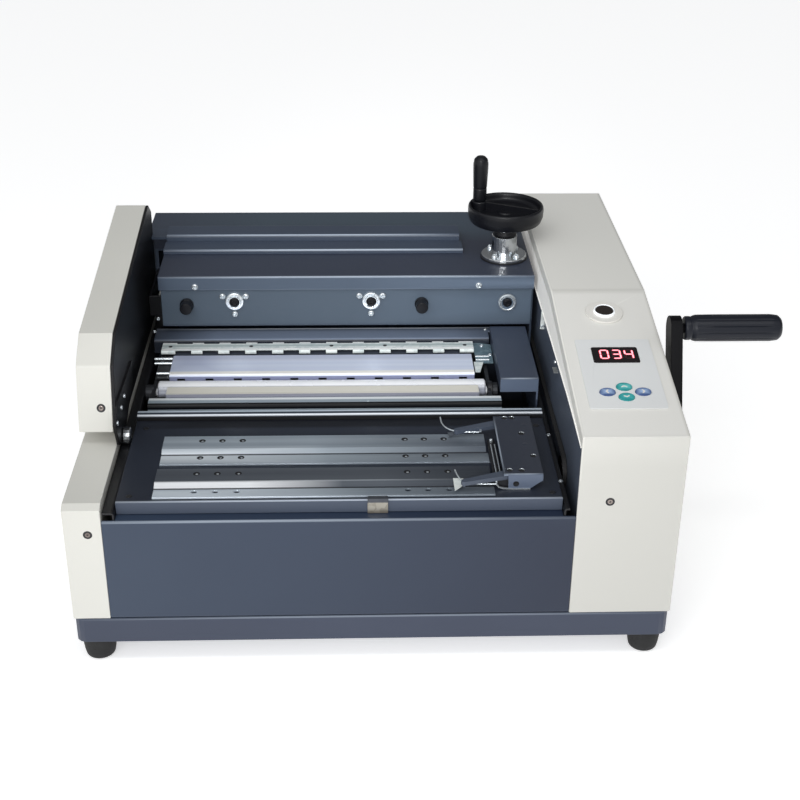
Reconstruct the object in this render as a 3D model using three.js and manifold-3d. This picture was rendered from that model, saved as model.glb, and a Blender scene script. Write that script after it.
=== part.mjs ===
// Desktop hot-melt glue binder: fixed housing with a glue unit, a cover table and a sliding book clamp.
// Millimetres, +Z up, +X to the operator's right, the operator stands on the -Y side.
import * as THREE from 'three';
import { mergeVertices } from 'three/addons/utils/BufferGeometryUtils.js';
import Module from 'manifold-3d';

const wasm = await Module();
wasm.setup();

// Overall sizes
const machineWidth = 600;
const machineDepth = 569;
const footHeight = 27;
const footRadius = 17;
const footInset = 20;
const trayHeight = 28.6;
const trayCornerRadius = 10;
const trayRim = 12;
const leftCoverWidth = 37;
const rightCoverWidth = 103;
const leftChannel = 13;
const rightChannel = 12;
const sheet = 2;
const plate = 3;
const seatGap = 0.3;
const bend = 3;

// Heights above the top of the base tray
const frontPanelRise = 114.4;
const deckRise = 128.4;
const leftCoverRise = 131.4;
const rightCoverFrontRise = 203.4;
const rightCoverBackRise = 243.9;
const railRise = 122.4;
const tankFloorRise = 64.4;
const carriageRise = 156.4;

// Steps used to draw round forms
const fineSteps = 24;
const roundSteps = 16;
const smallSteps = 10;
const bendSteps = 3;
const cornersPerTriangle = 3;

// Levels and edges that the pieces share
const trayTop = footHeight + trayHeight;
const trayFloor = footHeight + sheet;
const deckTop = trayTop + deckRise;
const panelTop = trayTop + frontPanelRise;
const railTop = trayTop + railRise;
const tankFloor = trayTop + tankFloorRise;
const carriageFloor = trayTop + carriageRise;
const deckLeft = leftCoverWidth + leftChannel;
const wellRight = machineWidth - rightCoverWidth;
const deckRight = wellRight - rightChannel;

// Closed solids from the geometry classes, welded and turned so that their faces point out
function solidFrom(geometry) {
  const bare = geometry.index ? geometry.toNonIndexed() : geometry.clone();
  bare.deleteAttribute('normal');
  bare.deleteAttribute('uv');
  const welded = mergeVertices(bare);
  const position = welded.attributes.position;
  const a = new THREE.Vector3();
  const b = new THREE.Vector3();
  const c = new THREE.Vector3();
  const triangles = [];
  let volume = 0;
  for (let start = 0; start < welded.index.count; start += cornersPerTriangle) {
    const [i, j, k] = welded.index.array.slice(start, start + cornersPerTriangle);
    if (i === j || j === k || k === i) continue;
    triangles.push([i, j, k]);
    a.fromBufferAttribute(position, i);
    b.fromBufferAttribute(position, j);
    c.fromBufferAttribute(position, k);
    volume += a.dot(b.cross(c));
  }
  const outward = volume < 0 ? triangles.map(([i, j, k]) => [i, k, j]) : triangles;
  const vertProperties = Float32Array.from(position.array);
  const triVerts = Uint32Array.from(outward.flat());
  return new wasm.Manifold(new wasm.Mesh({ numProp: cornersPerTriangle, vertProperties, triVerts }));
}

function geometryFrom(solid) {
  const mesh = solid.getMesh();
  const geometry = new THREE.BufferGeometry();
  geometry.setAttribute('position', new THREE.BufferAttribute(mesh.vertProperties, cornersPerTriangle));
  geometry.setIndex(new THREE.BufferAttribute(mesh.triVerts, 1));
  const flat = geometry.toNonIndexed();
  flat.computeVertexNormals();
  return flat;
}

const join = (first, ...others) => others.reduce((sum, next) => sum.add(next), first);
const cut = (first, ...others) => others.reduce((rest, next) => rest.subtract(next), first);

// A box between two corners
function boxGeometry(x0, x1, y0, y1, z0, z1) {
  const geometry = new THREE.BoxGeometry(x1 - x0, y1 - y0, z1 - z0);
  geometry.translate((x0 + x1) / 2, (y0 + y1) / 2, (z0 + z1) / 2);
  return geometry;
}
const block = (...corners) => solidFrom(boxGeometry(...corners));

// A flat outline given a thickness along x, y or z
function extruded(outline, from, to) {
  const shape = new THREE.Shape(outline.map(([u, v]) => new THREE.Vector2(u, v)));
  const geometry = new THREE.ExtrudeGeometry(shape, { depth: to - from, bevelEnabled: false });
  geometry.translate(0, 0, from);
  return geometry;
}
const alongX = new THREE.Matrix4().set(0, 0, 1, 0, 1, 0, 0, 0, 0, 1, 0, 0, 0, 0, 0, 1);
const alongY = new THREE.Matrix4().set(1, 0, 0, 0, 0, 0, 1, 0, 0, 1, 0, 0, 0, 0, 0, 1);
const slabX = (outline, x0, x1) => solidFrom(extruded(outline, x0, x1).applyMatrix4(alongX));
const slabY = (outline, y0, y1) => solidFrom(extruded(outline, y0, y1).applyMatrix4(alongY));
const slabZ = (outline, z0, z1) => solidFrom(extruded(outline, z0, z1));

// A turned piece: profile of [radius, height] pairs, its axis moved to the given place
function latheGeometry(profile, steps) {
  return new THREE.LatheGeometry(profile.map(([r, h]) => new THREE.Vector2(r, h)), steps);
}
function turnedX(profile, y, z, steps = roundSteps) {
  const geometry = latheGeometry(profile, steps).rotateZ(-Math.PI / 2);
  return solidFrom(geometry.translate(0, y, z));
}
function turnedY(profile, x, z, steps = roundSteps) {
  return solidFrom(latheGeometry(profile, steps).translate(x, 0, z));
}
function turnedZ(profile, x, y, steps = roundSteps) {
  const geometry = latheGeometry(profile, steps).rotateX(Math.PI / 2);
  return solidFrom(geometry.translate(x, y, 0));
}
const pinProfile = (radius, from, to) => [[0, from], [radius, from], [radius, to], [0, to]];
const tubeProfile = (bore, radius, from, to) => [
  [bore, from], [radius, from], [radius, to], [bore, to], [bore, from],
];

// The outline of sheet metal folded along a path, its thickness on the left of the path
function folded(path, thickness, radius) {
  const outer = [];
  const inner = [];
  const put = (u, v, nu, nv) => {
    outer.push([u, v]);
    inner.unshift([u + nu * thickness, v + nv * thickness]);
  };
  const heading = (from, to) => Math.atan2(to[1] - from[1], to[0] - from[0]);
  path.forEach((point, i) => {
    const before = i > 0 ? heading(path[i - 1], point) : heading(point, path[i + 1]);
    const after = i < path.length - 1 ? heading(point, path[i + 1]) : before;
    const turn = Math.atan2(Math.sin(after - before), Math.cos(after - before));
    if (turn === 0) {
      put(point[0], point[1], -Math.sin(before), Math.cos(before));
      return;
    }
    const side = Math.sign(turn);
    const reach = radius * Math.tan(Math.abs(turn) / 2);
    const startU = point[0] - reach * Math.cos(before);
    const startV = point[1] - reach * Math.sin(before);
    const centreU = startU - side * radius * Math.sin(before);
    const centreV = startV + side * radius * Math.cos(before);
    for (let step = 0; step <= bendSteps; step += 1) {
      const angle = before + (turn * step) / bendSteps;
      const nu = -Math.sin(angle);
      const nv = Math.cos(angle);
      put(centreU - side * radius * nu, centreV - side * radius * nv, nu, nv);
    }
  });
  return [...outer, ...inner];
}

// A rectangle with round corners
function roundedRectangle(x0, x1, y0, y1, radius) {
  const corners = [[x1 - radius, y0 + radius, -1], [x1 - radius, y1 - radius, 0]];
  corners.push([x0 + radius, y1 - radius, 1], [x0 + radius, y0 + radius, 2]);
  return corners.flatMap(([x, y, quarter]) => Array.from({ length: bendSteps + 1 }, (_, step) => {
    const angle = (Math.PI / 2) * (quarter + step / bendSteps);
    return [x + radius * Math.cos(angle), y + radius * Math.sin(angle)];
  }));
}

// The outline round two circles and the two straight lines that touch both
function linkOutline([u0, v0], r0, [u1, v1], r1, steps = smallSteps) {
  const span = Math.hypot(u1 - u0, v1 - v0);
  const heading = Math.atan2(v1 - v0, u1 - u0);
  const lean = Math.acos((r0 - r1) / span);
  const points = [];
  for (let step = 0; step <= steps; step += 1) {
    const angle = heading + lean + ((2 * Math.PI - 2 * lean) * step) / steps;
    points.push([u0 + r0 * Math.cos(angle), v0 + r0 * Math.sin(angle)]);
  }
  for (let step = 0; step <= steps; step += 1) {
    const angle = heading - lean + (2 * lean * step) / steps;
    points.push([u1 + r1 * Math.cos(angle), v1 + r1 * Math.sin(angle)]);
  }
  return points;
}
function ellipse(x, y, halfWidth, halfHeight, steps = roundSteps) {
  return Array.from({ length: steps }, (_, step) => {
    const angle = (2 * Math.PI * step) / steps;
    return [x + halfWidth * Math.cos(angle), y + halfHeight * Math.sin(angle)];
  });
}

// Colours and finishes
const finish = (color, roughness, metalness) => ({ color, roughness, metalness });
const ivoryPaint = finish(0xdedcd3, 0.5, 0);
const bluePaint = finish(0x3f4856, 0.45, 0.2);
const darkPaint = finish(0x2b303a, 0.5, 0.2);
const blackPlastic = finish(0x17181b, 0.45, 0);
const rubber = finish(0x121212, 0.85, 0);
const bareSteel = finish(0x9fa3a6, 0.35, 1);
const brightSteel = finish(0xc6c8ca, 0.2, 1);
const aluminium = finish(0xb7bbc0, 0.4, 1);
const zincSteel = finish(0xa9adaa, 0.4, 1);
const membrane = finish(0xc9ccd0, 0.45, 0);
const tealKey = finish(0x1fa6a0, 0.4, 0);
const blueKey = finish(0x4f74b8, 0.4, 0);
const whitePlastic = finish(0xe6e4df, 0.4, 0);

// The whole machine, its origin under the middle of its bounding box on the floor
const machine = new THREE.Group();
function add(name, solid, look) {
  const mesh = new THREE.Mesh(geometryFrom(solid), new THREE.MeshStandardMaterial(look));
  mesh.name = name;
  machine.add(mesh);
}

// Base tray: a shallow pan with round corners and a rim folded inwards
const trayRound = (inset, radius) => roundedRectangle(
  inset, machineWidth - inset, inset, machineDepth - inset, radius);
add('base_tray', cut(
  slabZ(trayRound(0, trayCornerRadius), footHeight, trayTop),
  slabZ(trayRound(sheet, trayCornerRadius - sheet), trayFloor, trayTop - sheet),
  slabZ(trayRound(trayRim, trayCornerRadius - sheet), trayTop - 2 * sheet, trayTop + sheet),
), bluePaint);

// Rubber feet: turned, wider at the top and round at the floor
const footTop = footHeight - seatGap;
const footShares = [[0.66, 0], [0.8, 0.06], [0.89, 0.2], [0.96, 0.45], [1, 0.8], [1, 1]];
const footProfile = [[0, 0], ...footShares.map(([r, h]) => [r * footRadius, h * footTop]), [0, footTop]];
const footPlaces = { left: footInset, right: machineWidth - footInset };
const footRows = { front: footInset, back: machineDepth - footInset };
for (const [row, y] of Object.entries(footRows)) {
  for (const [side, x] of Object.entries(footPlaces)) {
    add(`foot_${row}_${side}`, turnedZ(footProfile, x, y), rubber);
  }
}

// Front and back panels: folded sheets between the two covers
const panelFlange = 30;
const panelFoot = 14;
const panelLeft = leftCoverWidth + seatGap;
const panelRight = wellRight - seatGap;
const panelBottom = trayTop + seatGap;
const frontPanelPath = [[panelFlange, panelTop], [0, panelTop], [0, panelBottom], [panelFoot, panelBottom]];
add('front_panel', cut(
  slabX(folded(frontPanelPath, sheet, bend), panelLeft, panelRight),
  block(0, deckLeft, bend, panelFlange + sheet, panelTop - bend, panelTop + sheet),
  block(deckRight, machineWidth, bend, panelFlange + sheet, panelTop - bend, panelTop + sheet),
), bluePaint);
const backPanelTop = carriageFloor - plate * 3;
const backPanelPath = [
  [machineDepth - panelFoot, panelBottom], [machineDepth, panelBottom],
  [machineDepth, backPanelTop], [machineDepth - panelFlange, backPanelTop],
];
const flangeFront = machineDepth - panelFlange - sheet;
const flangeBack = machineDepth - bend;
add('back_panel', cut(
  slabX(folded(backPanelPath, sheet, bend), panelLeft, panelRight),
  block(0, deckLeft, flangeFront, flangeBack, panelTop, backPanelTop + sheet),
  block(deckRight, machineWidth, flangeFront, flangeBack, panelTop, backPanelTop + sheet),
), bluePaint);

// Left cover: a long low box, open below, with a small bevel over its front face
const bevelDepth = 7.75;
const bevelHeight = 4.3;
const leftCoverTop = trayTop + leftCoverRise;
function coverOutline(inset, bottom) {
  return [
    [inset, bottom], [machineDepth - inset, bottom], [machineDepth - inset, leftCoverTop - inset],
    [bevelDepth + inset / 2, leftCoverTop - inset], [inset, leftCoverTop - bevelHeight - inset / 2],
  ];
}
add('left_cover', cut(
  slabX(coverOutline(0, panelBottom), 0, leftCoverWidth),
  slabX(coverOutline(sheet, panelBottom - sheet), sheet, leftCoverWidth - sheet),
), ivoryPaint);

// Right cover: tall box with a sloping control face, open below and on the side of the well
const slopeDepth = 254;
const slopeRise = rightCoverBackRise - rightCoverFrontRise;
const slopeAngle = Math.atan2(slopeRise, slopeDepth);
const rightFrontTop = trayTop + rightCoverFrontRise;
const rightBackTop = trayTop + rightCoverBackRise;
const returnStrip = 14;
const slopeFrame = new THREE.Matrix4().makeRotationX(slopeAngle);
slopeFrame.setPosition(0, 0, rightFrontTop);
const onSlope = (outline, from, to) => solidFrom(extruded(outline, from, to).applyMatrix4(slopeFrame));
function rightOutline(front, back, drop, bottom) {
  const frontTop = rightFrontTop + front * Math.tan(slopeAngle) - drop;
  return [
    [front, bottom], [machineDepth - back, bottom], [machineDepth - back, rightBackTop - drop],
    [slopeDepth, rightBackTop - drop], [front, frontTop],
  ];
}
// Controls on the slope, measured up the slope from its front edge
const controlCentre = wellRight + rightCoverWidth / 2;
const labelWidth = 77;
const labelFront = 43.5;
const labelLength = 118;
const labelThickness = 0.8;
const windowWidth = 47;
const windowFront = 120;
const windowLength = 27;
const keyHalfWidth = 8;
const keyHalfLength = 6.2;
const keyRowMiddle = 69.8;
const keyRowStep = 8.4;
const keySideStep = 17.7;
const switchPlace = 212;
const switchRadius = 20;
const buttonRadius = 10;
const keyPlaces = {
  key_up: [controlCentre, keyRowMiddle + keyRowStep, tealKey],
  key_down: [controlCentre, keyRowMiddle - keyRowStep, tealKey],
  key_left: [controlCentre - keySideStep, keyRowMiddle, blueKey],
  key_right: [controlCentre + keySideStep, keyRowMiddle, blueKey],
};
const keyHole = ([x, s], clearance) => ellipse(x, s, keyHalfWidth + clearance, keyHalfLength + clearance);
const windowOutline = (clearance) => roundedRectangle(
  controlCentre - windowWidth / 2 - clearance, controlCentre + windowWidth / 2 + clearance,
  windowFront - clearance, windowFront + windowLength + clearance, sheet);
const controlHoles = (from, to) => [
  onSlope(windowOutline(seatGap), from, to),
  ...Object.values(keyPlaces).map((place) => onSlope(keyHole(place, seatGap), from, to)),
];

// Crank drive on the right: shaft, toothed belt and two pulleys beside the well
const crankY = 97.95;
const crankDrop = 4.4;
const crankZ = panelTop - crankDrop;
const shaftRadius = 7;
const pulleyRadius = 16;
const beltThickness = 2.7;
const beltInset = 2.4;
const beltLeft = wellRight - beltInset;
const beltWidth = 4;
const idlerInset = 28;
const idlerY = machineDepth - idlerInset;
const idlerPinRadius = 4;
const shaftHole = 10;
add('right_cover', cut(
  slabX(rightOutline(0, 0, 0, panelBottom), wellRight, machineWidth),
  slabX(rightOutline(sheet, sheet, sheet, panelBottom - sheet), wellRight + sheet, machineWidth - sheet),
  slabX(rightOutline(sheet, sheet, returnStrip, panelBottom - sheet),
    wellRight - sheet, wellRight + 2 * sheet),
  turnedX(pinProfile(shaftHole, machineWidth - 2 * sheet, machineWidth + sheet), crankY, crankZ),
  onSlope(ellipse(controlCentre, switchPlace, buttonRadius + sheet, buttonRadius + sheet), -2 * sheet, sheet),
  ...controlHoles(-2 * sheet, sheet),
), ivoryPaint);

// Side plate behind the open side of the right cover, with the crank bearing and the idler pin
const sidePlateLeft = wellRight + sheet + seatGap;
const sidePlateRight = sidePlateLeft + sheet;
const sideInset = sheet + seatGap;
const bearingRadius = 13;
const rimInset = trayRim + sideInset;
const [sideA, sideB, ...sideTop] = rightOutline(sideInset, sideInset, 2 * sideInset, panelBottom);
const sideOutline = [
  sideA, [rimInset, panelBottom], [rimInset, trayFloor + seatGap],
  [machineDepth - rimInset, trayFloor + seatGap], [machineDepth - rimInset, panelBottom], sideB, ...sideTop,
];
add('right_side_plate', cut(
  join(
    slabX(sideOutline, sidePlateLeft, sidePlateRight),
    turnedX(pinProfile(bearingRadius, sidePlateLeft, machineWidth - sheet - seatGap), crankY, crankZ),
    turnedX(pinProfile(idlerPinRadius, beltLeft - seatGap, sidePlateRight), idlerY, crankZ),
  ),
  turnedX(pinProfile(shaftRadius + seatGap, sidePlateLeft - plate, machineWidth), crankY, crankZ),
), darkPaint);

// Rail plates on both sides of the well: channels whose top flanges carry the rollers of the clamp,
// their upper half running on to the front panel
const railFront = bend + seatGap;
const railStep = panelFlange + seatGap * 2;
const railBack = machineDepth - panelFoot - sheet;
const leftWebX = deckLeft - seatGap;
const rightWebX = deckRight + seatGap;
const leftFlangeX = leftCoverWidth + seatGap * 3;
const rightFlangeX = wellRight - plate * 2;
const railFoot = trayFloor + seatGap;
const leftRailPath = [
  [leftFlangeX, railFoot], [leftWebX, railFoot], [leftWebX, railTop], [leftFlangeX, railTop],
];
const rightRailPath = [
  [rightFlangeX, railTop], [rightWebX, railTop], [rightWebX, railFoot], [rightFlangeX, railFoot],
];
for (const [side, path] of [['left', leftRailPath], ['right', rightRailPath]]) {
  add(`${side}_rail_plate`, cut(
    slabY(folded(path, sheet, bend), railFront, railBack),
    block(0, machineWidth, 0, railStep, 0, tankFloor),
  ), darkPaint);
}

// Mid wall: the rounded edge between the cover table and the glue unit
const midWallFront = 177.3;
const midWallDepth = 16.8;
const midWallRise = 6;
const midWallBend = 8;
const midWallTop = deckTop + midWallRise;
const midWallBack = midWallFront + midWallDepth;
const midWallLip = 10;
const unitLeft = deckLeft;
const unitRight = deckRight;
const tankSetback = 18.5;
const tankFront = midWallBack + tankSetback;
const midWallPath = [
  [midWallBack, midWallTop - midWallLip], [midWallBack, midWallTop],
  [midWallFront, midWallTop], [midWallFront, tankFloor], [tankFront - seatGap, tankFloor],
];
add('mid_wall', slabX(folded(midWallPath, sheet, midWallBend), unitLeft, unitRight), bluePaint);

// Cover table: a shallow folded plate that rests on the flange of the front panel
const deckFront = 13;
const deckBack = midWallFront - seatGap;
const lipBottom = panelTop + seatGap;
const jawLeft = 85;
const jawRightMargin = 68;
const jawRight = deckRight - jawRightMargin;
const jawSpan = jawRight - jawLeft;
const jawTravel = 10;
const lugWidth = 10;
const lugDepth = 8;
const lugShares = [0.12, 0.88];
const lugFront = 44;
const lugPlaces = lugShares.map((share) => jawLeft + share * jawSpan);
const lugSlots = lugPlaces.map((x) => block(
  x - lugWidth / 2 - seatGap, x + lugWidth / 2 + seatGap,
  lugFront - seatGap, lugFront + lugDepth + jawTravel + seatGap, deckTop - 2 * sheet, deckTop + sheet));
add('deck_plate', cut(
  block(deckLeft, deckRight, deckFront, deckBack, lipBottom, deckTop),
  block(deckLeft + sheet, deckRight - sheet, deckFront + sheet, deckBack + sheet,
    lipBottom - sheet, deckTop - sheet),
  ...lugSlots,
), bluePaint);

// Steel stop on the front edge of the table
const tabLeft = 294;
const tabWidth = 20;
const tabReach = 3.5;
const tabBend = 2.1;
add('deck_tab', slabX(folded([
  [deckFront + tabReach, deckTop + seatGap + sheet], [deckFront - seatGap - sheet, deckTop + seatGap + sheet],
  [deckFront - seatGap - sheet, lipBottom]], sheet, tabBend), tabLeft, tabLeft + tabWidth), zincSteel);

// Nip jaws on the table: a bevelled bar and a thin strip in front of it, both drilled in groups
const jawFoot = deckTop + seatGap;
const barHeight = 5.7;
const barDepth = 33;
const barBevel = 7;
const barBevelHeight = 3.4;
const stripHeight = 2;
const rearStripDepth = 18;
const frontStripDepth = 15;
const rearBarFront = 99;
const barPitch = 66;
const frontBarFront = rearBarFront - barPitch;
const drillRadius = 2.6;
const drillInset = 10;
const drillShares = [0.12, 0.182, 0.245, 0.75, 0.81, 0.872];
const slotHalf = 3.4;
function barOutline(front) {
  return [
    [front, jawFoot], [front + barDepth, jawFoot], [front + barDepth, jawFoot + barHeight],
    [front + barBevel, jawFoot + barHeight], [front, jawFoot + barHeight - barBevelHeight],
  ];
}
const drills = (y, radius) => drillShares.map((share) => turnedZ(
  pinProfile(radius, jawFoot - sheet, jawFoot + 2 * barHeight), jawLeft + share * jawSpan, y, smallSteps));
const barDrills = (front) => drills(front + barDepth - drillInset, drillRadius);
function strip(barFront, depth) {
  const back = barFront - seatGap;
  const slots = drillShares.map((share) => slabZ(
    ellipse(jawLeft + share * jawSpan, back - drillInset / 2, slotHalf, drillRadius, smallSteps),
    jawFoot - sheet, jawFoot + 2 * stripHeight));
  return cut(block(jawLeft, jawRight + sheet, back - depth, back, jawFoot, jawFoot + stripHeight), ...slots);
}
add('nip_rear_bar', cut(
  slabX(barOutline(rearBarFront), jawLeft, jawRight), ...barDrills(rearBarFront),
), bareSteel);
add('nip_rear_strip', strip(rearBarFront, rearStripDepth), bareSteel);
add('nip_front_bar', join(
  cut(slabX(barOutline(frontBarFront), jawLeft, jawRight), ...barDrills(frontBarFront)),
  ...lugPlaces.map((x) => block(x - lugWidth / 2, x + lugWidth / 2, lugFront, lugFront + lugDepth,
    deckTop - 2 * sheet - plate, jawFoot + sheet)),
), bareSteel);
add('nip_front_strip', strip(frontBarFront, frontStripDepth), bareSteel);

// Register: a folded bridge over the table with two sprung levers that hold the cover's edge
const registerInset = 57;
const registerLeft = deckRight - registerInset;
const registerWidth = 39;
const registerRight = registerLeft + registerWidth;
const registerFront = 31;
const registerLength = 119;
const registerBack = registerFront + registerLength;
const registerHeight = 17;
const registerTop = deckTop + registerHeight;
const registerEarRise = 9;
const leverPinRadius = 2.5;
const leverInset = 8;
const frontLeverY = registerFront + leverInset;
const rearLeverY = registerBack - leverInset;
const leverPinX = registerLeft + leverInset;
const registerDrillShares = [[0.3, 0.97], [0.78, 0.84], [0.85, 0.3], [0.7, 0.5]];
const earLeft = registerLeft + leverInset * 2;
const earFoot = earLeft + leverInset;
const earOutline = [
  [earLeft, jawFoot], [earFoot, jawFoot],
  [registerRight, jawFoot + registerEarRise], [registerRight, registerTop], [earLeft, registerTop],
];
const registerDrills = registerDrillShares.map(([across, along]) => turnedZ(
  pinProfile(drillRadius, registerTop - 2 * sheet, registerTop + sheet),
  registerLeft + across * registerWidth, registerFront + along * registerLength, smallSteps));
const leverPin = (y) => turnedZ(pinProfile(leverPinRadius, registerTop - 5 * sheet, registerTop - sheet / 2),
  leverPinX, y, smallSteps);
add('register_plate', join(
  cut(block(registerLeft, registerRight, registerFront, registerBack, registerTop - sheet, registerTop),
    ...registerDrills),
  slabY(earOutline, registerFront, registerFront + sheet),
  slabY(earOutline, registerBack - sheet, registerBack),
  leverPin(frontLeverY), leverPin(rearLeverY),
), bluePaint);

// Levers under the register plate, each a channel with a tapering nose and a turned-down clip
const leverLength = 50;
const leverHubRadius = 5.5;
const leverNoseRadius = 3;
const leverHeight = 4.4;
const leverLean = THREE.MathUtils.degToRad(18);
const leverTop = registerTop - sheet - seatGap;
const clipHeight = 4;
function leverSolid(y) {
  const nose = [leverPinX - leverLength * Math.cos(leverLean), y - leverLength * Math.sin(leverLean)];
  const body = slabZ(linkOutline([leverPinX, y], leverHubRadius, nose, leverNoseRadius),
    leverTop - leverHeight, leverTop);
  const clipFoot = leverTop - leverHeight - clipHeight / 2;
  const clip = turnedZ(pinProfile(leverNoseRadius / 2, clipFoot, leverTop), ...nose, smallSteps);
  const bore = turnedZ(pinProfile(leverPinRadius + seatGap, leverTop - 2 * leverHeight, leverTop + sheet),
    leverPinX, y, smallSteps);
  return cut(join(body, clip), bore);
}
add('register_lever_front', leverSolid(frontLeverY), bluePaint);
add('register_lever_rear', leverSolid(rearLeverY), bluePaint);

// Glue unit: an open trough with cheeks that carry the roller
const tankDepth = 117.7;
const tankHeight = 72;
const tankWall = 4;
const tankLeftMargin = 10;
const tankRightMargin = 51;
const tankLeft = unitLeft + tankLeftMargin;
const tankRight = unitRight - tankRightMargin;
const tankTop = tankFloor + tankHeight;
const tankBack = tankFront + tankDepth;
const tankLug = 26;
const rollerRadius = 13;
const rollerSetback = 27.7;
const rollerDrop = 7;
const rollerY = tankFront + rollerSetback;
const rollerZ = tankTop - rollerDrop;
const journalRadius = 5;
const bossRadius = 9;
const bossLength = 7.4;
const bossEnds = [[tankLeft - bossLength, tankLeft + sheet], [tankRight - sheet, tankRight + bossLength]];
add('glue_tank', cut(
  join(
    cut(block(tankLeft, tankRight, tankFront, tankBack, tankFloor, tankTop),
      block(tankLeft + tankWall, tankRight - tankWall, tankFront + tankWall, tankBack - tankWall,
        tankFloor + tankWall, tankTop + tankWall)),
    block(unitLeft, tankLeft + sheet, tankFront, tankBack, tankFloor, tankFloor + tankWall),
    block(tankRight - sheet, unitRight, tankFront, tankBack, tankFloor, tankFloor + tankWall),
    block(unitLeft, unitLeft + sheet, tankFront, tankBack, tankFloor, tankFloor + tankLug),
    block(unitRight - sheet, unitRight, tankFront, tankBack, tankFloor, tankFloor + tankLug),
    ...bossEnds.map(([from, to]) => turnedX(pinProfile(bossRadius, from, to), rollerY, rollerZ)),
  ),
  turnedX(pinProfile(journalRadius + seatGap, unitLeft, unitRight), rollerY, rollerZ),
), aluminium);

// Glue roller with its journals
const drumLeft = tankLeft + tankWall + sheet;
const drumRight = tankRight - tankWall - sheet;
const drumChamfer = 1.5;
const journalReach = tankWall + sheet + bossLength - seatGap;
add('glue_roller', turnedX([
  [0, drumLeft - journalReach], [journalRadius, drumLeft - journalReach], [journalRadius, drumLeft],
  [rollerRadius - drumChamfer, drumLeft], [rollerRadius, drumLeft + drumChamfer],
  [rollerRadius, drumRight - drumChamfer], [rollerRadius - drumChamfer, drumRight],
  [journalRadius, drumRight], [journalRadius, drumRight + journalReach], [0, drumRight + journalReach],
], rollerY, rollerZ, fineSteps), brightSteel);

// Front plate and angle between the mid wall and the roller
const stepRise = 4;
const angleDrop = 16;
const angleLeftMargin = 9.4;
const angleRightReach = 8.6;
const angleTop = midWallTop + stepRise;
const angleFront = midWallBack + seatGap;
const frontPlateFront = tankFront - seatGap - sheet;
const angleLeft = unitLeft + angleLeftMargin;
const angleRight = tankRight + angleRightReach;
const anglePath = [
  [frontPlateFront - seatGap, angleTop], [angleFront, angleTop], [angleFront, angleTop - angleDrop],
];
add('front_angle', slabX(folded(anglePath, sheet, bend), angleLeft, angleRight), zincSteel);
const frontPlateTop = angleTop + stepRise;
const frontPlateDepth = 18;
const frontPlateDrop = 11;
const frontPlateLeftMargin = 17.6;
const frontPlateRightMargin = 15;
const frontPlateLeft = tankLeft + frontPlateLeftMargin;
const frontPlateRight = tankRight - frontPlateRightMargin;
const frontPlatePath = [
  [frontPlateFront + frontPlateDepth, frontPlateTop], [frontPlateFront, frontPlateTop],
  [frontPlateFront, frontPlateTop - frontPlateDrop],
];
add('front_plate', slabX(folded(frontPlatePath, sheet, bend), frontPlateLeft, frontPlateRight), bareSteel);

// Doctor plate: covers the glue behind the roller, its front lip slotted
const doctorTop = frontPlateTop + sheet;
const doctorGap = 1;
const doctorMargin = 16.75;
const doctorFront = rollerY + rollerRadius + doctorGap;
const doctorStep = 50;
const doctorLeft = tankLeft + doctorMargin;
const doctorRight = tankRight - doctorMargin;
const doctorLip = 11;
const doctorPath = [
  [tankBack - tankWall / 2, tankTop + seatGap + sheet],
  [doctorFront + doctorStep, tankTop + seatGap + sheet],
  [doctorFront + doctorStep, doctorTop], [doctorFront, doctorTop], [doctorFront, doctorTop - doctorLip],
];
const slotPitch = 31.5;
const slotWidth = 9;
const slotDepth = 6;
const doctorBend = 2.4;
const slotCount = Math.floor((doctorRight - doctorLeft - slotWidth) / slotPitch) + 1;
const slotStart = (doctorLeft + doctorRight - (slotCount - 1) * slotPitch) / 2;
const doctorSlots = Array.from({ length: slotCount }, (_, i) => {
  const x = slotStart + i * slotPitch;
  return block(x - slotWidth / 2, x + slotWidth / 2, doctorFront - sheet, doctorFront + 2 * sheet,
    doctorTop - doctorLip - sheet, doctorTop - doctorLip + slotDepth);
});
add('doctor_plate', cut(
  slabX(folded(doctorPath, sheet, doctorBend), doctorLeft, doctorRight), ...doctorSlots,
), aluminium);

// Rear wall of the glue unit, cut away under the end box
const rearWallSetback = 8.3;
const rearWallDepth = 33.7;
const rearWallDrop = 9;
const rearWallLip = 17;
const rearWallFront = tankBack + rearWallSetback;
const rearWallTop = carriageFloor - rearWallDrop;
const rearWallBack = rearWallFront + rearWallDepth;
const rearWallPath = [
  [tankBack + seatGap, tankFloor], [rearWallBack, tankFloor], [rearWallBack, rearWallTop],
  [rearWallFront, rearWallTop], [rearWallFront, rearWallTop - rearWallLip],
];
const endBoxGap = 1.6;
const endBoxSetback = 7.7;
const endBoxDepth = 135;
const endBoxLeft = tankRight + bossLength + endBoxGap;
const endBoxFront = tankFront + endBoxSetback;
const endBoxBack = endBoxFront + endBoxDepth;
const endBoxTop = carriageFloor - sheet;
add('rear_wall', cut(
  slabX(folded(rearWallPath, sheet, bend), unitLeft, unitRight),
  block(endBoxLeft - sheet, unitRight + sheet, rearWallFront - sheet, endBoxBack + sheet,
    rearWallTop - 10 * sheet, rearWallTop + sheet),
), darkPaint);

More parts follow.
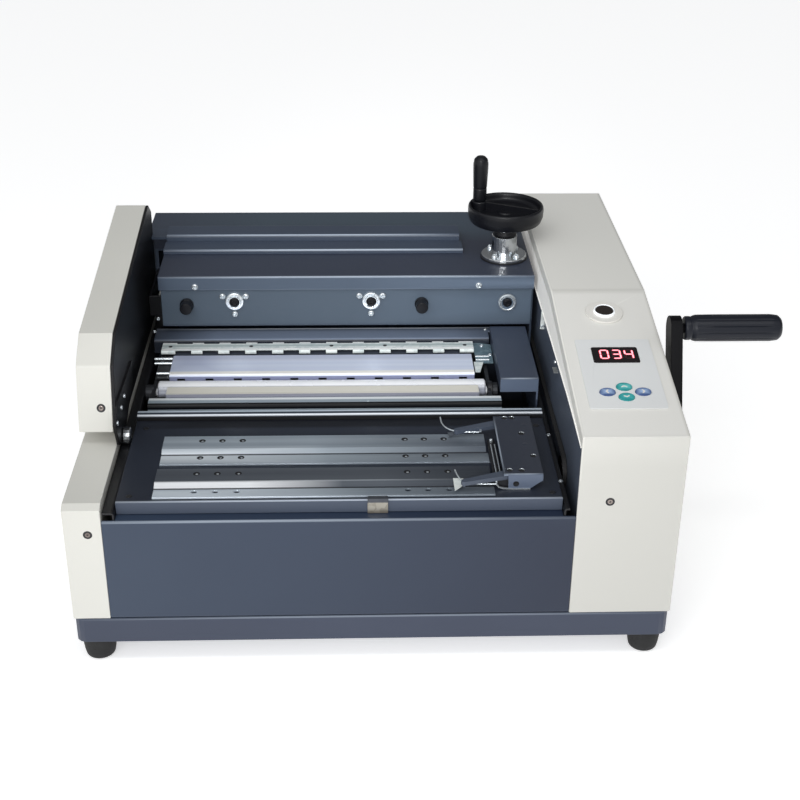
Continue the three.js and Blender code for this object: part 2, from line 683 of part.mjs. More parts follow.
// Comb guard: a strip in front of the rear wall, notched along both edges between its pads
const combTop = doctorTop;
const combBack = rearWallFront - seatGap;
const combDepth = 23.7;
const combLeg = 14;
const combLip = 4;
const combLeftMargin = 0.7;
const combRightMargin = 12.6;
const combLeft = tankLeft + combLeftMargin;
const combRight = tankRight - combRightMargin;
const combPath = [
  [combBack, combTop - combLeg], [combBack, combTop], [combBack - combDepth, combTop],
  [combBack - combDepth, combTop - combLip],
];
const combPitch = 31;
const combNotchLength = 18;
const combNotchDepth = 4.6;
const combCount = Math.floor((combRight - combLeft - combNotchLength) / combPitch);
const combStart = (combLeft + combRight - (combCount - 1) * combPitch) / 2;
const combNotches = Array.from({ length: combCount }, (_, i) => {
  const x = combStart + i * combPitch;
  const front = combBack - combDepth;
  return [[front - sheet, front + combNotchDepth], [combBack - combNotchDepth, combBack + sheet]].map(
    ([from, to]) => block(x - combNotchLength / 2, x + combNotchLength / 2,
      from, to, combTop - 2 * combLeg, combTop + sheet));
}).flat();
add('comb_guard', cut(
  slabX(folded(combPath, sheet, doctorBend), combLeft, combRight), ...combNotches,
), zincSteel);

// End box over the right bearing and drive of the roller
const endBoxHeight = 17;
add('end_box', cut(
  join(
    block(endBoxLeft, unitRight, endBoxFront, endBoxBack, endBoxTop - endBoxHeight, endBoxTop),
    block(unitRight - sheet, unitRight, endBoxFront, endBoxBack, tankFloor + tankLug + seatGap, endBoxTop),
  ),
  block(endBoxLeft + sheet, unitRight - sheet, endBoxFront + sheet, endBoxBack - sheet,
    endBoxTop - endBoxHeight - sheet, endBoxTop - sheet),
), bluePaint);

// Book clamp: a welded frame on four rollers, under a folded top plate
const clampLeftMargin = 7;
const clampRightMargin = 4;
const clampLeft = deckLeft + clampLeftMargin;
const clampRight = wellRight - clampRightMargin;
const clampBackInset = 2;
const clampDepth = 212.3;
const clampBack = machineDepth - clampBackInset;
const clampFront = clampBack - clampDepth;
const clampHeight = 63;
const clampTop = carriageFloor + clampHeight;
const clampLip = 17;
const frameInset = sheet + seatGap;
const frameLeft = clampLeft + frameInset;
const frameRight = clampRight - frameInset;
const frameFront = clampFront + frameInset;
const frameBack = clampBack - frameInset;
const frameTop = clampTop - frameInset;
const rodRadius = 6;
const rodShares = [0.2, 0.5645];
const clampWidth = clampRight - clampLeft;
const rodPlaces = rodShares.map((share) => clampLeft + share * clampWidth);
const rodRise = 32;
const rodZ = carriageFloor + rodRise;
const screwShare = 0.9295;
const screwDrop = 2.4;
const screwX = clampLeft + screwShare * clampWidth;
const screwZ = rodZ - screwDrop;
const screwRadius = 5;
const bushRadius = 10.5;
const bushDepth = 3;
const knobRadius = 6.5;
const knobLength = 15;
const knobShares = [0.0727, 0.6993];
const knobDrop = 4.2;
const knobZ = rodZ - knobDrop;
const knobPlaces = knobShares.map((share) => clampLeft + share * clampWidth);
const rollerWheelRadius = 9;
const wheelZ = railTop + seatGap + rollerWheelRadius;
const wheelPinRadius = 3;
const wheelBore = wheelPinRadius + seatGap;
const bracketGap = 1.6;
const bracketX = leftCoverWidth + bracketGap;
const bracketFrontInset = 45.3;
const bracketBackInset = 7;
const bracketFront = clampFront + bracketFrontInset;
const bracketBack = clampBack - bracketBackInset;
const bracketDrop = 6;
const bracketBottom = carriageFloor - bracketDrop;
const lipFloor = clampTop - clampLip;
const bracketTop = lipFloor - seatGap;
const bracketStep = 26;
const slotInset = 97.4;
const slotY = clampFront + slotInset;
const wingReach = 27;
const wingSetback = 33;
const wingLeft = clampLeft - wingReach;
const wingFront = slotY + wingSetback;
const wingFaceY = wingFront + frameInset;
const legDepth = 30;
const legBottom = railTop + sheet;
const leftRearWheelY = bracketBack - legDepth;
const rightPlateX = rightFlangeX + seatGap;
const rightPlateEnd = beltLeft - 2 * seatGap;
const rightFrontWheelInset = 28;
const rightRearWheelInset = 26;
const rightFrontWheelY = clampFront + rightFrontWheelInset;
const rightRearWheelY = clampBack - rightRearWheelInset;
const gripInset = 62;
const gripY = clampBack - gripInset;
const gripDepth = 30;
const beltTop = crankZ + pulleyRadius + seatGap + beltThickness;
const leftWheelSpan = [bracketX + plate + 2 * seatGap, leftWebX - 2 * seatGap];
const rightWheelSpan = [rightWebX + sheet / 2, rightFlangeX - seatGap / 2];
const rightLeg = (y, depth, bottom) => block(
  rightPlateX, rightPlateEnd, y - depth / 2, y + depth / 2, bottom, carriageFloor + sheet * 2);
const frontHole = (radius, x, z) => turnedY(
  pinProfile(radius + seatGap, clampFront - plate * 2, clampBack), x, z);
const frontHoles = [
  ...rodPlaces.map((x) => frontHole(rodRadius, x, rodZ)), frontHole(screwRadius, screwX, screwZ),
];
add('carriage_body', cut(
  join(
    cut(block(frameLeft, frameRight, frameFront, frameBack, carriageFloor, frameTop),
      block(frameLeft + plate, frameRight - plate, frameFront + plate, frameBack - plate,
        carriageFloor - plate, frameTop + plate)),
    cut(block(bracketX, frameLeft + sheet, bracketFront, bracketBack, bracketBottom, bracketTop),
      block(bracketX + plate, frameLeft, bracketFront + plate, bracketBack - plate,
        bracketBottom - plate, bracketTop - plate),
      block(bracketX - plate, frameLeft, bracketFront - plate, wingFaceY,
        bracketTop - bracketStep, bracketTop + plate)),
    block(wingLeft + frameInset, bracketX + plate, wingFaceY, wingFaceY + plate, bracketBottom, bracketTop),
    block(bracketX, bracketX + plate, leftRearWheelY - legDepth / 2, leftRearWheelY + legDepth / 2,
      legBottom, bracketBottom + plate),
    turnedX(pinProfile(wheelPinRadius, bracketX + sheet, leftWheelSpan[1]),
      leftRearWheelY, wheelZ, smallSteps),
    block(frameRight - sheet, rightPlateEnd, rightFrontWheelY - legDepth / 2, rightRearWheelY + legDepth / 2,
      carriageFloor + sheet, bracketTop),
    rightLeg(rightFrontWheelY, legDepth, legBottom),
    rightLeg(rightRearWheelY, legDepth, legBottom),
    rightLeg(gripY, gripDepth, beltTop + seatGap),
    block(rightPlateX, beltLeft + beltWidth, gripY - gripDepth / 2, gripY + gripDepth / 2,
      beltTop + seatGap, beltTop + 2 * plate),
    ...[rightFrontWheelY, rightRearWheelY].map((y) => turnedX(
      pinProfile(wheelPinRadius, rightWheelSpan[0] - seatGap, rightPlateEnd - seatGap),
      y, wheelZ, smallSteps)),
    ...[...rodPlaces.map((x) => [x, rodZ]), [screwX, screwZ]].map(([x, z]) => turnedY(
      pinProfile(bushRadius, frameFront - bushDepth, frameFront + plate), x, z)),
    ...knobPlaces.map((x) => turnedY(
      pinProfile(knobRadius, frameFront - knobLength, frameFront + sheet), x, knobZ)),
  ),
  ...frontHoles,
), bluePaint);

// Guide rods and the lead screw that run through the frame
const rodChamfer = 1;
const rodFront = frameFront - bushDepth - rodChamfer;
for (const [side, x] of [['left', rodPlaces[0]], ['right', rodPlaces[1]]]) {
  add(`guide_rod_${side}`, turnedY([
    [0, rodFront], [rodRadius - rodChamfer, rodFront], [rodRadius, rodFront + rodChamfer],
    [rodRadius, frameBack - rodChamfer], [rodRadius - rodChamfer, frameBack], [0, frameBack],
  ], x, rodZ, smallSteps * 2), brightSteel);
}

// Mitre gears between the handwheel and the lead screw: cones with their tips where the axes cross
const wheelInset = 58.3;
const wheelY = clampFront + wheelInset;
const gearRadius = 15;
const gearInner = 9;
const gearBack = 5;
const gearHub = 8;
const toothCount = 14;
const toothDepth = 2;
const gearTip = 0.35;
const toothWidth = 1.6;
function mitreGear() {
  const cone = latheGeometry([
    [0, gearInner + gearTip], [gearInner, gearInner + gearTip], [gearRadius, gearRadius + gearTip],
    [gearRadius - sheet, gearRadius + sheet], [gearHub, gearRadius + gearBack], [0, gearRadius + gearBack],
  ], toothCount * 2);
  const teeth = Array.from({ length: toothCount }, (_, i) => {
    const groove = new THREE.BoxGeometry(gearRadius * 2, toothDepth * 2, toothWidth);
    groove.rotateZ(Math.PI / 4).translate(gearRadius, gearRadius + gearTip, 0);
    return solidFrom(groove.rotateY((2 * Math.PI * (i + 0.5)) / toothCount));
  });
  return cut(solidFrom(cone), ...teeth);
}
const placed = (solid, matrix) => solidFrom(geometryFrom(solid).applyMatrix4(matrix));
const screwGear = placed(mitreGear(), new THREE.Matrix4().makeTranslation(screwX, wheelY, screwZ)
  .multiply(new THREE.Matrix4().makeRotationX(Math.PI)));
const halfTooth = new THREE.Matrix4().makeRotationY(Math.PI / toothCount);
const wheelGear = placed(mitreGear(), new THREE.Matrix4().makeTranslation(screwX, wheelY, screwZ)
  .multiply(new THREE.Matrix4().makeRotationX(Math.PI / 2)).multiply(halfTooth));
add('lead_screw', join(
  turnedY([
    [0, rodFront], [screwRadius - rodChamfer, rodFront], [screwRadius, rodFront + rodChamfer],
    [screwRadius, frameBack], [0, frameBack],
  ], screwX, screwZ, roundSteps), screwGear,
), brightSteel);

// Top plate of the clamp with the book slot
const jawSheet = 2;
const clampTravel = 22;
const rearJawDepth = 33;
const jawFlangeDepth = 28.5;
const slotMargin = 5;
const slotSlack = 1;
const bearingFlangeRadius = 27;
const bearingClearance = 25.26;
const slotLeft = clampLeft + slotMargin;
const slotRight = screwX - bearingFlangeRadius - bearingClearance;
const slotFront = slotY - clampTravel - jawSheet - slotSlack;
const slotBack = slotY + rearJawDepth - plate;
const wheelHole = 11;
add('housing_top', cut(
  join(
    block(clampLeft, clampRight, clampFront, clampBack, lipFloor, clampTop),
    block(wingLeft, clampLeft + sheet, wingFront, clampBack, lipFloor, clampTop),
  ),
  block(clampLeft + sheet, clampRight - sheet, clampFront + sheet, clampBack - sheet,
    lipFloor - sheet, clampTop - sheet),
  block(wingLeft + sheet, clampLeft + 2 * sheet, wingFront + sheet, clampBack - sheet,
    lipFloor - sheet, clampTop - sheet),
  block(slotLeft, slotRight, slotFront, slotBack, clampTop - 2 * sheet, clampTop + sheet),
  turnedZ(pinProfile(wheelHole, clampTop - 2 * sheet, clampTop + sheet), screwX, wheelY),
), bluePaint);

// Rear jaw: fixed, its hat-shaped flange standing over the top plate
const jawDrop = 8;
const jawBottom = carriageFloor - jawDrop;
const flangeFoot = clampTop + seatGap;
const rearJawRise = 14;
const rearJawMargin = 0.7;
const rearJawOverlap = 1.7;
const rearJawTop = clampTop + rearJawRise;
const rearJawLeft = clampLeft + rearJawMargin;
const rearJawRight = slotRight + rearJawOverlap;
const rearJawFront = slotY + seatGap / 2;
const rearJawBack = rearJawFront + rearJawDepth;
const rearJawPath = [
  [rearJawBack, flangeFoot], [rearJawBack, rearJawTop], [rearJawFront, rearJawTop], [rearJawFront, jawBottom],
];
const jawSides = (left, right, front, back) => [
  block(left - plate, slotLeft + seatGap, front - plate, back + plate, jawBottom - plate, flangeFoot),
  block(slotRight - seatGap, right + plate, front - plate, back + plate, jawBottom - plate, flangeFoot),
];
const jawBores = rodPlaces.map((x) => turnedY(
  pinProfile(rodRadius + seatGap, slotY - 2 * jawFlangeDepth, slotY + 2 * rearJawDepth), x, rodZ));
const stubX = bracketX + seatGap;
const stubDrop = 4;
const stubTop = rearJawTop - stubDrop;
add('rear_jaw', cut(
  join(
    slabX(folded(rearJawPath, plate, bend + seatGap), rearJawLeft, rearJawRight),
    block(stubX, rearJawLeft + sheet, rearJawFront + plate, rearJawBack, stubTop - plate, stubTop),
  ),
  ...jawSides(rearJawLeft, rearJawRight, rearJawFront, rearJawBack), ...jawBores,
), bluePaint);

// Front jaw: slides on the guide rods, its nut runs on the lead screw
const frontJawRise = 6;
const frontJawReach = 0.5;
const frontJawOverlap = 4.2;
const frontJawTop = clampTop + frontJawRise;
const frontJawBack = slotY - seatGap / 2;
const frontJawLeft = clampLeft - frontJawReach;
const frontJawRight = slotRight + frontJawOverlap;
const frontJawPath = [
  [frontJawBack, jawBottom], [frontJawBack, frontJawTop],
  [frontJawBack - jawFlangeDepth, frontJawTop], [frontJawBack - jawFlangeDepth, flangeFoot],
];
const nutWidth = 24;
const nutDepth = 14;
const nutTop = screwZ + nutWidth / 3;
const nutArmRoot = 20;
const nutArmLeft = slotRight - nutArmRoot;
add('front_jaw', cut(
  join(
    cut(slabX(folded(frontJawPath, jawSheet, doctorBend), frontJawLeft, frontJawRight),
      ...jawSides(frontJawLeft, frontJawRight, frontJawBack - jawFlangeDepth, frontJawBack)),
    block(nutArmLeft, screwX, frontJawBack - 2 * jawSheet, frontJawBack, rodZ - nutWidth / 2, nutTop),
    block(screwX - nutWidth / 2, screwX + nutWidth / 2, frontJawBack - nutDepth, frontJawBack,
      screwZ - nutWidth / 2, nutTop),
  ),
  ...jawBores,
  turnedY(pinProfile(screwRadius + seatGap, frontJawBack - 2 * nutDepth, frontJawBack + plate),
    screwX, screwZ),
), bluePaint);

// Handwheel on its chromed bearing
const bearingFlange = 5;
const bearingTube = 15;
const bearingHeight = 29;
const bearingTop = clampTop + bearingHeight;
const wheelShaftRadius = 7;
const rimRadius = 44.5;
const rimWidth = 13;
const rimHeight = 20;
const rimRise = 63;
const rimTop = clampTop + rimRise;
const rimRound = 5;
const rimBottom = rimTop - rimHeight;
const hubRadius = 13;
const webRise = 6;
const webThickness = 4;
const capHeight = 5;
const capRadius = 10;
const ribWidth = 11;
const webBottom = rimBottom + webRise;
const webTop = webBottom + webThickness;
const hubTop = webTop + capHeight;
add('wheel_bearing', turnedZ([
  [wheelShaftRadius + seatGap, flangeFoot], [bearingFlangeRadius, flangeFoot],
  [bearingFlangeRadius, flangeFoot + bearingFlange - rodChamfer],
  [bearingFlangeRadius - rodChamfer, flangeFoot + bearingFlange], [bearingTube, flangeFoot + bearingFlange],
  [bearingTube, bearingTop - rodChamfer], [bearingTube - rodChamfer, bearingTop],
  [wheelShaftRadius + seatGap, bearingTop], [wheelShaftRadius + seatGap, flangeFoot],
], screwX, wheelY, fineSteps), brightSteel);
const gearTop = screwZ + gearRadius + gearBack;
add('wheel_shaft', join(
  wheelGear,
  turnedZ(pinProfile(wheelShaftRadius, gearTop - sheet, hubTop - sheet), screwX, wheelY, roundSteps),
), brightSteel);
const handleRadius = 9;
const handleRise = 122;
const handleTop = clampTop + handleRise;
const handleBase = rimTop + seatGap;
const handlePinRadius = 3;
const handleOrbit = 33;
const handleAngle = THREE.MathUtils.degToRad(155);
const handleX = screwX + handleOrbit * Math.cos(handleAngle);
const handleY = wheelY + handleOrbit * Math.sin(handleAngle);
const padRadius = 10;
const boreRadius = wheelShaftRadius + seatGap;
function wheelRib(side) {
  const [from, to] = [boreRadius + sheet / 2, rimRadius - rimWidth / 2].map((reach) => side * reach);
  const rib = boxGeometry(Math.min(from, to), Math.max(from, to), -ribWidth / 2, ribWidth / 2,
    webTop - sheet, hubTop);
  return solidFrom(rib.rotateZ(handleAngle).translate(screwX, wheelY, 0));
}
add('handwheel', join(
  turnedZ([
    [boreRadius, bearingTop + seatGap], [hubRadius, bearingTop + seatGap], [hubRadius, webBottom],
    [rimRadius - rimWidth, webBottom], [rimRadius - rimWidth + rimRound, rimBottom],
    [rimRadius - rimRound, rimBottom], [rimRadius, rimBottom + rimRound], [rimRadius, rimTop - rimRound],
    [rimRadius - rimRound, rimTop], [rimRadius - rimWidth + rimRound, rimTop],
    [rimRadius - rimWidth, rimTop - rimRound], [rimRadius - rimWidth, webTop], [capRadius, webTop],
    [capRadius, hubTop], [0, hubTop], [0, hubTop - sheet + seatGap], [boreRadius, hubTop - sheet + seatGap],
    [boreRadius, bearingTop + seatGap],
  ], screwX, wheelY, fineSteps),
  wheelRib(-1), wheelRib(1),
  turnedZ(pinProfile(padRadius, webTop - sheet, rimTop), handleX, handleY, roundSteps),
  turnedZ(pinProfile(handlePinRadius, rimTop - sheet, handleTop - 2 * plate), handleX, handleY, smallSteps),
), blackPlastic);
const handleBore = handlePinRadius + seatGap;
const handleShares = [
  [0.72, 0], [0.78, 0.06], [0.72, 0.14], [0.9, 0.3], [1, 0.55], [1, 0.8], [0.86, 0.94], [0.5, 1],
];
const handleHeight = handleTop - handleBase;
add('wheel_handle', turnedZ([
  [handleBore, handleBase],
  ...handleShares.map(([r, h]) => [r * handleRadius, handleBase + h * handleHeight]),
  [0, handleTop], [0, handleTop - 2 * plate + seatGap], [handleBore, handleTop - 2 * plate + seatGap],
  [handleBore, handleBase],
], handleX, handleY, roundSteps), blackPlastic);

// Arm cover on the left end of the clamp, its inner plate and the front roller
const armWidth = 35;
const armReach = 236.7;
const armTail = 119.3;
const armFront = clampFront - armReach;
const armBack = clampFront + armTail;
const armRise = 19;
const armBottom = deckTop + armRise;
const armFaceRun = 17;
const armFaceHeight = 67.5;
const armBevelRun = 48;
const armBevelHeight = 90;
const armCrestRun = 20;
const armCrestHeight = 123.5;
const armTailHeight = 108;
function armOutline(inset) {
  return [
    [armFront + inset, armBottom + inset], [armBack - inset, armBottom + inset],
    [armBack - inset, armBottom + armTailHeight - inset / 2],
    [armBack - armCrestRun - inset / 2, armBottom + armCrestHeight - inset],
    [armFront + armBevelRun + inset / 2, armBottom + armBevelHeight - inset],
    [armFront + armFaceRun + inset, armBottom + armFaceHeight - inset / 2],
  ];
}
add('arm_cover', cut(
  slabX(armOutline(0), 0, armWidth),
  slabX(armOutline(sheet), sheet, armWidth + sheet),
), ivoryPaint);
const armPlateX = armWidth + seatGap;
const armPlateEnd = bracketX - seatGap;
const leafEnd = bracketX + sheet;
const armWheelInset = 22;
const armWheelY = armFront + armWheelInset;
const leafLength = 126;
const leafHeight = 53;
const leafReach = 34;
const leafFront = armWheelY - leafReach;
const leafShares = [
  [0, 0.7], [0.1, 0.15], [0.27, 0], [0.476, 0.11], [0.968, 0.51], [1, 0.92], [0.206, 1],
];
const leafOutline = leafShares.map(([along, up]) => [
  leafFront + along * leafLength, legBottom + up * leafHeight]);
const [armHeel, armToe, ...armUpper] = armOutline(seatGap);
const armSkirt = leftCoverTop + sheet;
const skirtSlant = 12;
const armPlateOutline = [
  [armHeel[0] + skirtSlant, armSkirt], [armToe[0], armSkirt], ...armUpper, armHeel,
];
add('arm_plate', join(
  slabX(armPlateOutline, armPlateX, armPlateEnd),
  slabX(leafOutline, armPlateEnd - sheet / 2, leafEnd),
  turnedX(pinProfile(wheelPinRadius, armPlateEnd, leftWheelSpan[1]), armWheelY, wheelZ, smallSteps),
), blackPlastic);

// Rollers that carry the clamp on the rails
const rollerProfile = ([from, to]) => [
  [wheelBore, from], [rollerWheelRadius - rodChamfer, from], [rollerWheelRadius, from + rodChamfer],
  [rollerWheelRadius, to - rodChamfer], [rollerWheelRadius - rodChamfer, to],
  [wheelBore, to], [wheelBore, from],
];
const armWheelSpan = [leafEnd + seatGap, leftWheelSpan[1]];
add('arm_roller', turnedX(rollerProfile(armWheelSpan), armWheelY, wheelZ), brightSteel);
add('left_rear_roller', turnedX(rollerProfile(leftWheelSpan), leftRearWheelY, wheelZ), brightSteel);
add('right_front_roller', turnedX(rollerProfile(rightWheelSpan), rightFrontWheelY, wheelZ), brightSteel);
add('right_rear_roller', turnedX(rollerProfile(rightWheelSpan), rightRearWheelY, wheelZ), brightSteel);

// Crank shaft with its pulley, the belt and the idler
const armGap = 6;
const armX = machineWidth + armGap;
const crankArmThickness = 12;
const shaftReach = 5;
const shaftEnd = armX + crankArmThickness + shaftReach;
add('crank_shaft', turnedX([
  [0, beltLeft], [pulleyRadius, beltLeft],
  [pulleyRadius, beltLeft + beltWidth], [shaftRadius, beltLeft + beltWidth],
  [shaftRadius, shaftEnd - rodChamfer], [shaftRadius - rodChamfer, shaftEnd], [0, shaftEnd],
], crankY, crankZ, fineSteps), brightSteel);
add('idler_pulley', turnedX(
  tubeProfile(idlerPinRadius + seatGap, pulleyRadius, beltLeft, beltLeft + beltWidth),
  idlerY, crankZ, fineSteps), brightSteel);
const beltOutline = (radius) => linkOutline([crankY, crankZ], radius, [idlerY, crankZ], radius, fineSteps);
add('drive_belt', cut(
  slabX(beltOutline(pulleyRadius + seatGap + beltThickness), beltLeft, beltLeft + beltWidth),
  slabX(beltOutline(pulleyRadius + seatGap), beltLeft - sheet, beltLeft + beltWidth + sheet),
), rubber);

// Crank arm and its revolving grip
const gripOffsetY = 57.05;
const gripOffsetZ = 134.4;
const crankHubRadius = 18;
const crankHubDepth = 3;
const crankEndRadius = 13;
const gripRadius = 14;
const gripGap = 3.5;
const gripLeft = armX + crankArmThickness + gripGap;
const gripLength = 100.5;
const gripRight = gripLeft + gripLength;
const gripPinRadius = 5;
const gripPinInset = 10;
const gripPinEnd = gripRight - gripPinInset;
const gripPlace = [crankY + gripOffsetY, crankZ + gripOffsetZ];
add('crank_arm', cut(
  join(
    slabX(linkOutline([crankY, crankZ], crankEndRadius + sheet, gripPlace, crankEndRadius),
      armX, armX + crankArmThickness),
    turnedX(pinProfile(crankHubRadius, armX - crankHubDepth, armX + crankArmThickness + crankHubDepth),
      crankY, crankZ, fineSteps),
    turnedX(pinProfile(gripPinRadius, armX + sheet, gripPinEnd), ...gripPlace, smallSteps),
  ),
  turnedX(pinProfile(shaftRadius + seatGap, armX - 2 * crankHubDepth, shaftEnd + sheet),
    crankY, crankZ, fineSteps),
), blackPlastic);
const gripBore = gripPinRadius + seatGap;
const gripShares = [
  [0.8, 0], [0.86, 0.02], [0.86, 0.05], [0.97, 0.09], [1, 0.3], [1, 0.9], [0.93, 0.96], [0.7, 1],
];
add('crank_grip', turnedX([
  [gripBore, gripLeft], ...gripShares.map(([r, h]) => [r * gripRadius, gripLeft + h * gripLength]),
  [0, gripRight], [0, gripPinEnd + seatGap], [gripBore, gripPinEnd + seatGap], [gripBore, gripLeft],
], ...gripPlace, fineSteps), blackPlastic);

// Control face: membrane label, display window, four keys and the round switch
const labelFoot = seatGap;
const labelTop = labelFoot + labelThickness;
add('control_label', cut(
  onSlope(roundedRectangle(controlCentre - labelWidth / 2, controlCentre + labelWidth / 2,
    labelFront, labelFront + labelLength, sheet), labelFoot, labelTop),
  ...controlHoles(-sheet, sheet),
), membrane);
const windowDepth = 6;
const windowProud = 0.5;
add('display_window', onSlope(windowOutline(0), -windowDepth, labelTop + windowProud), blackPlastic);
const keyFlange = 1.5;
const keyProud = 1.2;
for (const [name, [x, s, look]] of Object.entries(keyPlaces)) {
  add(name, join(
    onSlope(keyHole([x, s], 0), -sheet - seatGap - keyFlange / 2, labelTop + keyProud),
    onSlope(keyHole([x, s], keyFlange / 2), -sheet - seatGap - keyFlange, -sheet - seatGap),
  ), look);
}
const ringHeight = 2;
const ringTop = seatGap + ringHeight;
const collarDepth = 5;
const switchRound = (radius, steps) => ellipse(controlCentre, switchPlace, radius, radius, steps);
add('switch_ring', cut(
  join(
    onSlope(switchRound(switchRadius, fineSteps), seatGap, ringTop),
    onSlope(switchRound(buttonRadius + sheet - seatGap), -collarDepth, ringTop),
  ),
  onSlope(switchRound(buttonRadius), -2 * collarDepth, 2 * ringTop),
), whitePlastic);
add('switch_button', onSlope(
  switchRound(buttonRadius - seatGap), -collarDepth, ringTop + sheet,
), blackPlastic);

machine.position.set(-gripRight / 2, -machineDepth / 2, 0);

export default machine;
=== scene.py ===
"""Desktop thermal binder with a crank-driven book clamp: finishes and fine forms, section by section.

The frame is in metres, the machine's own sizes are in millimetres: +X to the operator's right, +Y away, +Z up.
"""

import bmesh
import bpy
import numpy as np
from mathutils import Matrix


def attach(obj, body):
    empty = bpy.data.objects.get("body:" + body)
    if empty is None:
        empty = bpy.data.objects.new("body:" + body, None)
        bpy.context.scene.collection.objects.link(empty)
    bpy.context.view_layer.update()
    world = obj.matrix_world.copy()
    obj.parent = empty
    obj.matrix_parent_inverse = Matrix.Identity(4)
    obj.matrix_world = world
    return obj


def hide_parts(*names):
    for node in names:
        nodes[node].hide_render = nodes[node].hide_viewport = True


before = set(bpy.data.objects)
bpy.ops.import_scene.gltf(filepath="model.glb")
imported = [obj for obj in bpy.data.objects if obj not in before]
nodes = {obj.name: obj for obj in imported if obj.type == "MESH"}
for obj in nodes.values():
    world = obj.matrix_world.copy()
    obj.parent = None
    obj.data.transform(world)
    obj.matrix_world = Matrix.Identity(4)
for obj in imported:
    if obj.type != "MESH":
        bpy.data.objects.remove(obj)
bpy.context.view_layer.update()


# Camera. It stands before the machine's left half, looks down on it and leans a little to the right.
# Its yaw, pitch and roll are in degrees; level, above and ahead are its directions before it leans.
def placed(thing, side, over, ahead, place):
    """Links an object with its X along side, its Y along over and its -Z ahead, at a place in metres."""
    matrix = np.eye(4)
    matrix[:3] = np.column_stack([side, over, -ahead, place])
    bpy.context.scene.collection.objects.link(thing)
    thing.matrix_world = Matrix(matrix.tolist())


yaw, pitch, roll = np.radians([2.24, 27.87, 0.61])
ahead = np.array([np.sin(yaw) * np.cos(pitch), np.cos(yaw) * np.cos(pitch), -np.sin(pitch)])
level = np.array([np.cos(yaw), -np.sin(yaw), 0])
above = np.cross(level, ahead)
camera = bpy.data.objects.new("camera", bpy.data.cameras.new("camera"))
camera.data.sensor_width, camera.data.lens, camera.data.clip_end = 36, 63.35, 20
placed(camera, np.cos(roll) * level + np.sin(roll) * above, np.cos(roll) * above - np.sin(roll) * level,
       ahead, [-0.0820, -1.4351, 0.9096])
bpy.context.scene.camera = camera


# Studio. A pale floor, a room bright on the operator's side and dim behind, two soft lamps and a spot.
# The room's strength falls from 0.78 to 0.2 as the direction's y goes from -0.35 to 0.25, and, by a factor,
# from 1.3 at the left to 0.6 at the right.
def node_in(tree, kind, inputs, **settings):
    """A shader node's outputs: the settings are its own, and each input gets a value or a socket's link."""
    node = tree.nodes.new("ShaderNode" + kind)
    for setting, value in settings.items():
        setattr(node, setting, value)
    for socket, value in inputs.items():
        if isinstance(value, bpy.types.NodeSocket):
            tree.links.new(value, node.inputs[socket])
        else:
            node.inputs[socket].default_value = value
    return node.outputs


def aimed(lamp, place, target):
    """Sets a lamp at a place, its way towards a target: side is way x upright, and over is side x way."""
    way = np.array(target) - place
    way /= np.linalg.norm(way)
    side = np.cross(way, [0, 0, 1])
    side /= np.linalg.norm(side)
    placed(bpy.data.objects.new(lamp.name, lamp), side, np.cross(side, way), way, place)


bpy.context.scene.view_settings.view_transform = "Standard"
world = bpy.data.worlds.new("room")
world.use_nodes = True
room = world.node_tree
room_way = node_in(room, "SeparateXYZ", {"Vector": node_in(room, "TexCoord", {})["Generated"]})
room_depth = node_in(room, "MapRange", {
    "Value": room_way["Y"], "From Min": -0.35, "From Max": 0.25, "To Min": 0.78, "To Max": 0.2})
room_side = node_in(room, "MapRange", {
    "Value": room_way["X"], "From Min": -1.0, "From Max": 1.0, "To Min": 1.3, "To Max": 0.6})
room_total = node_in(room, "Math", {0: room_depth["Result"], 1: room_side["Result"]}, operation="MULTIPLY")
room.links.new(room_total["Value"], room.nodes["Background"].inputs["Strength"])
room.nodes["Background"].inputs["Color"].default_value = (0.97, 0.985, 1, 1)
bpy.context.scene.world = world
for lamp_name, lamp_place, lamp_width, lamp_height, lamp_power in (
        ("lamp_front", (-0.7, -2.3, 1.5), 1.7, 1.1, 15), ("lamp_above", (-0.06, -0.9, 2), 2.4, 0.3, 8)):
    soft_lamp = bpy.data.lights.new(lamp_name, "AREA")
    soft_lamp.shape = "RECTANGLE"
    soft_lamp.size, soft_lamp.size_y, soft_lamp.energy = lamp_width, lamp_height, lamp_power
    aimed(soft_lamp, lamp_place, (-0.06, 0, 0.15))
spot = bpy.data.lights.new("lamp_spot", "SPOT")
spot.energy, spot.spot_size, spot.spot_blend, spot.shadow_soft_size = 100, np.radians(15), 0.8, 0.2
aimed(spot, (-0.2, -2.3, 1.15), (-0.04, 0.05, 0.235))
floor_mesh = bpy.data.meshes.new("floor")
floor_mesh.from_pydata([(-6, -5, 0), (6, -5, 0), (6, 7, 0), (-6, 7, 0)], [], [(0, 1, 2, 3)])
floor = bpy.data.objects.new("floor", floor_mesh)
bpy.context.scene.collection.objects.link(floor)
floor_paint = bpy.data.materials.new("floor_paint")
floor_paint.use_nodes = True
for floor_socket, floor_value in (
        ("Base Color", (0.93, 0.93, 0.93, 1)), ("Roughness", 0.9), ("Specular IOR Level", 0),
        ("Emission Color", (1, 1, 1, 1)), ("Emission Strength", 0.5)):
    floor_paint.node_tree.nodes["Principled BSDF"].inputs[floor_socket].default_value = floor_value
floor_mesh.materials.append(floor_paint)


# Powder coat. Folded steel sheet is sprayed and baked: a fine orange-peel skin with a slight drift in tone.
# The group mixes a broad and a fine noise: the broad one shifts the tone, the fine one gives the peel.
def tone(red, green, blue):
    """A display colour of 0 to 255 as linear light: ((c + 0.055) / 1.055) ** 2.4, or c / 12.92 near black."""
    c = np.array([red, green, blue]) / 255.0
    linear = np.where(c > 0.04045, ((c + 0.055) / 1.055) ** 2.4, c / 12.92)
    return (*[float(v) for v in linear], 1)


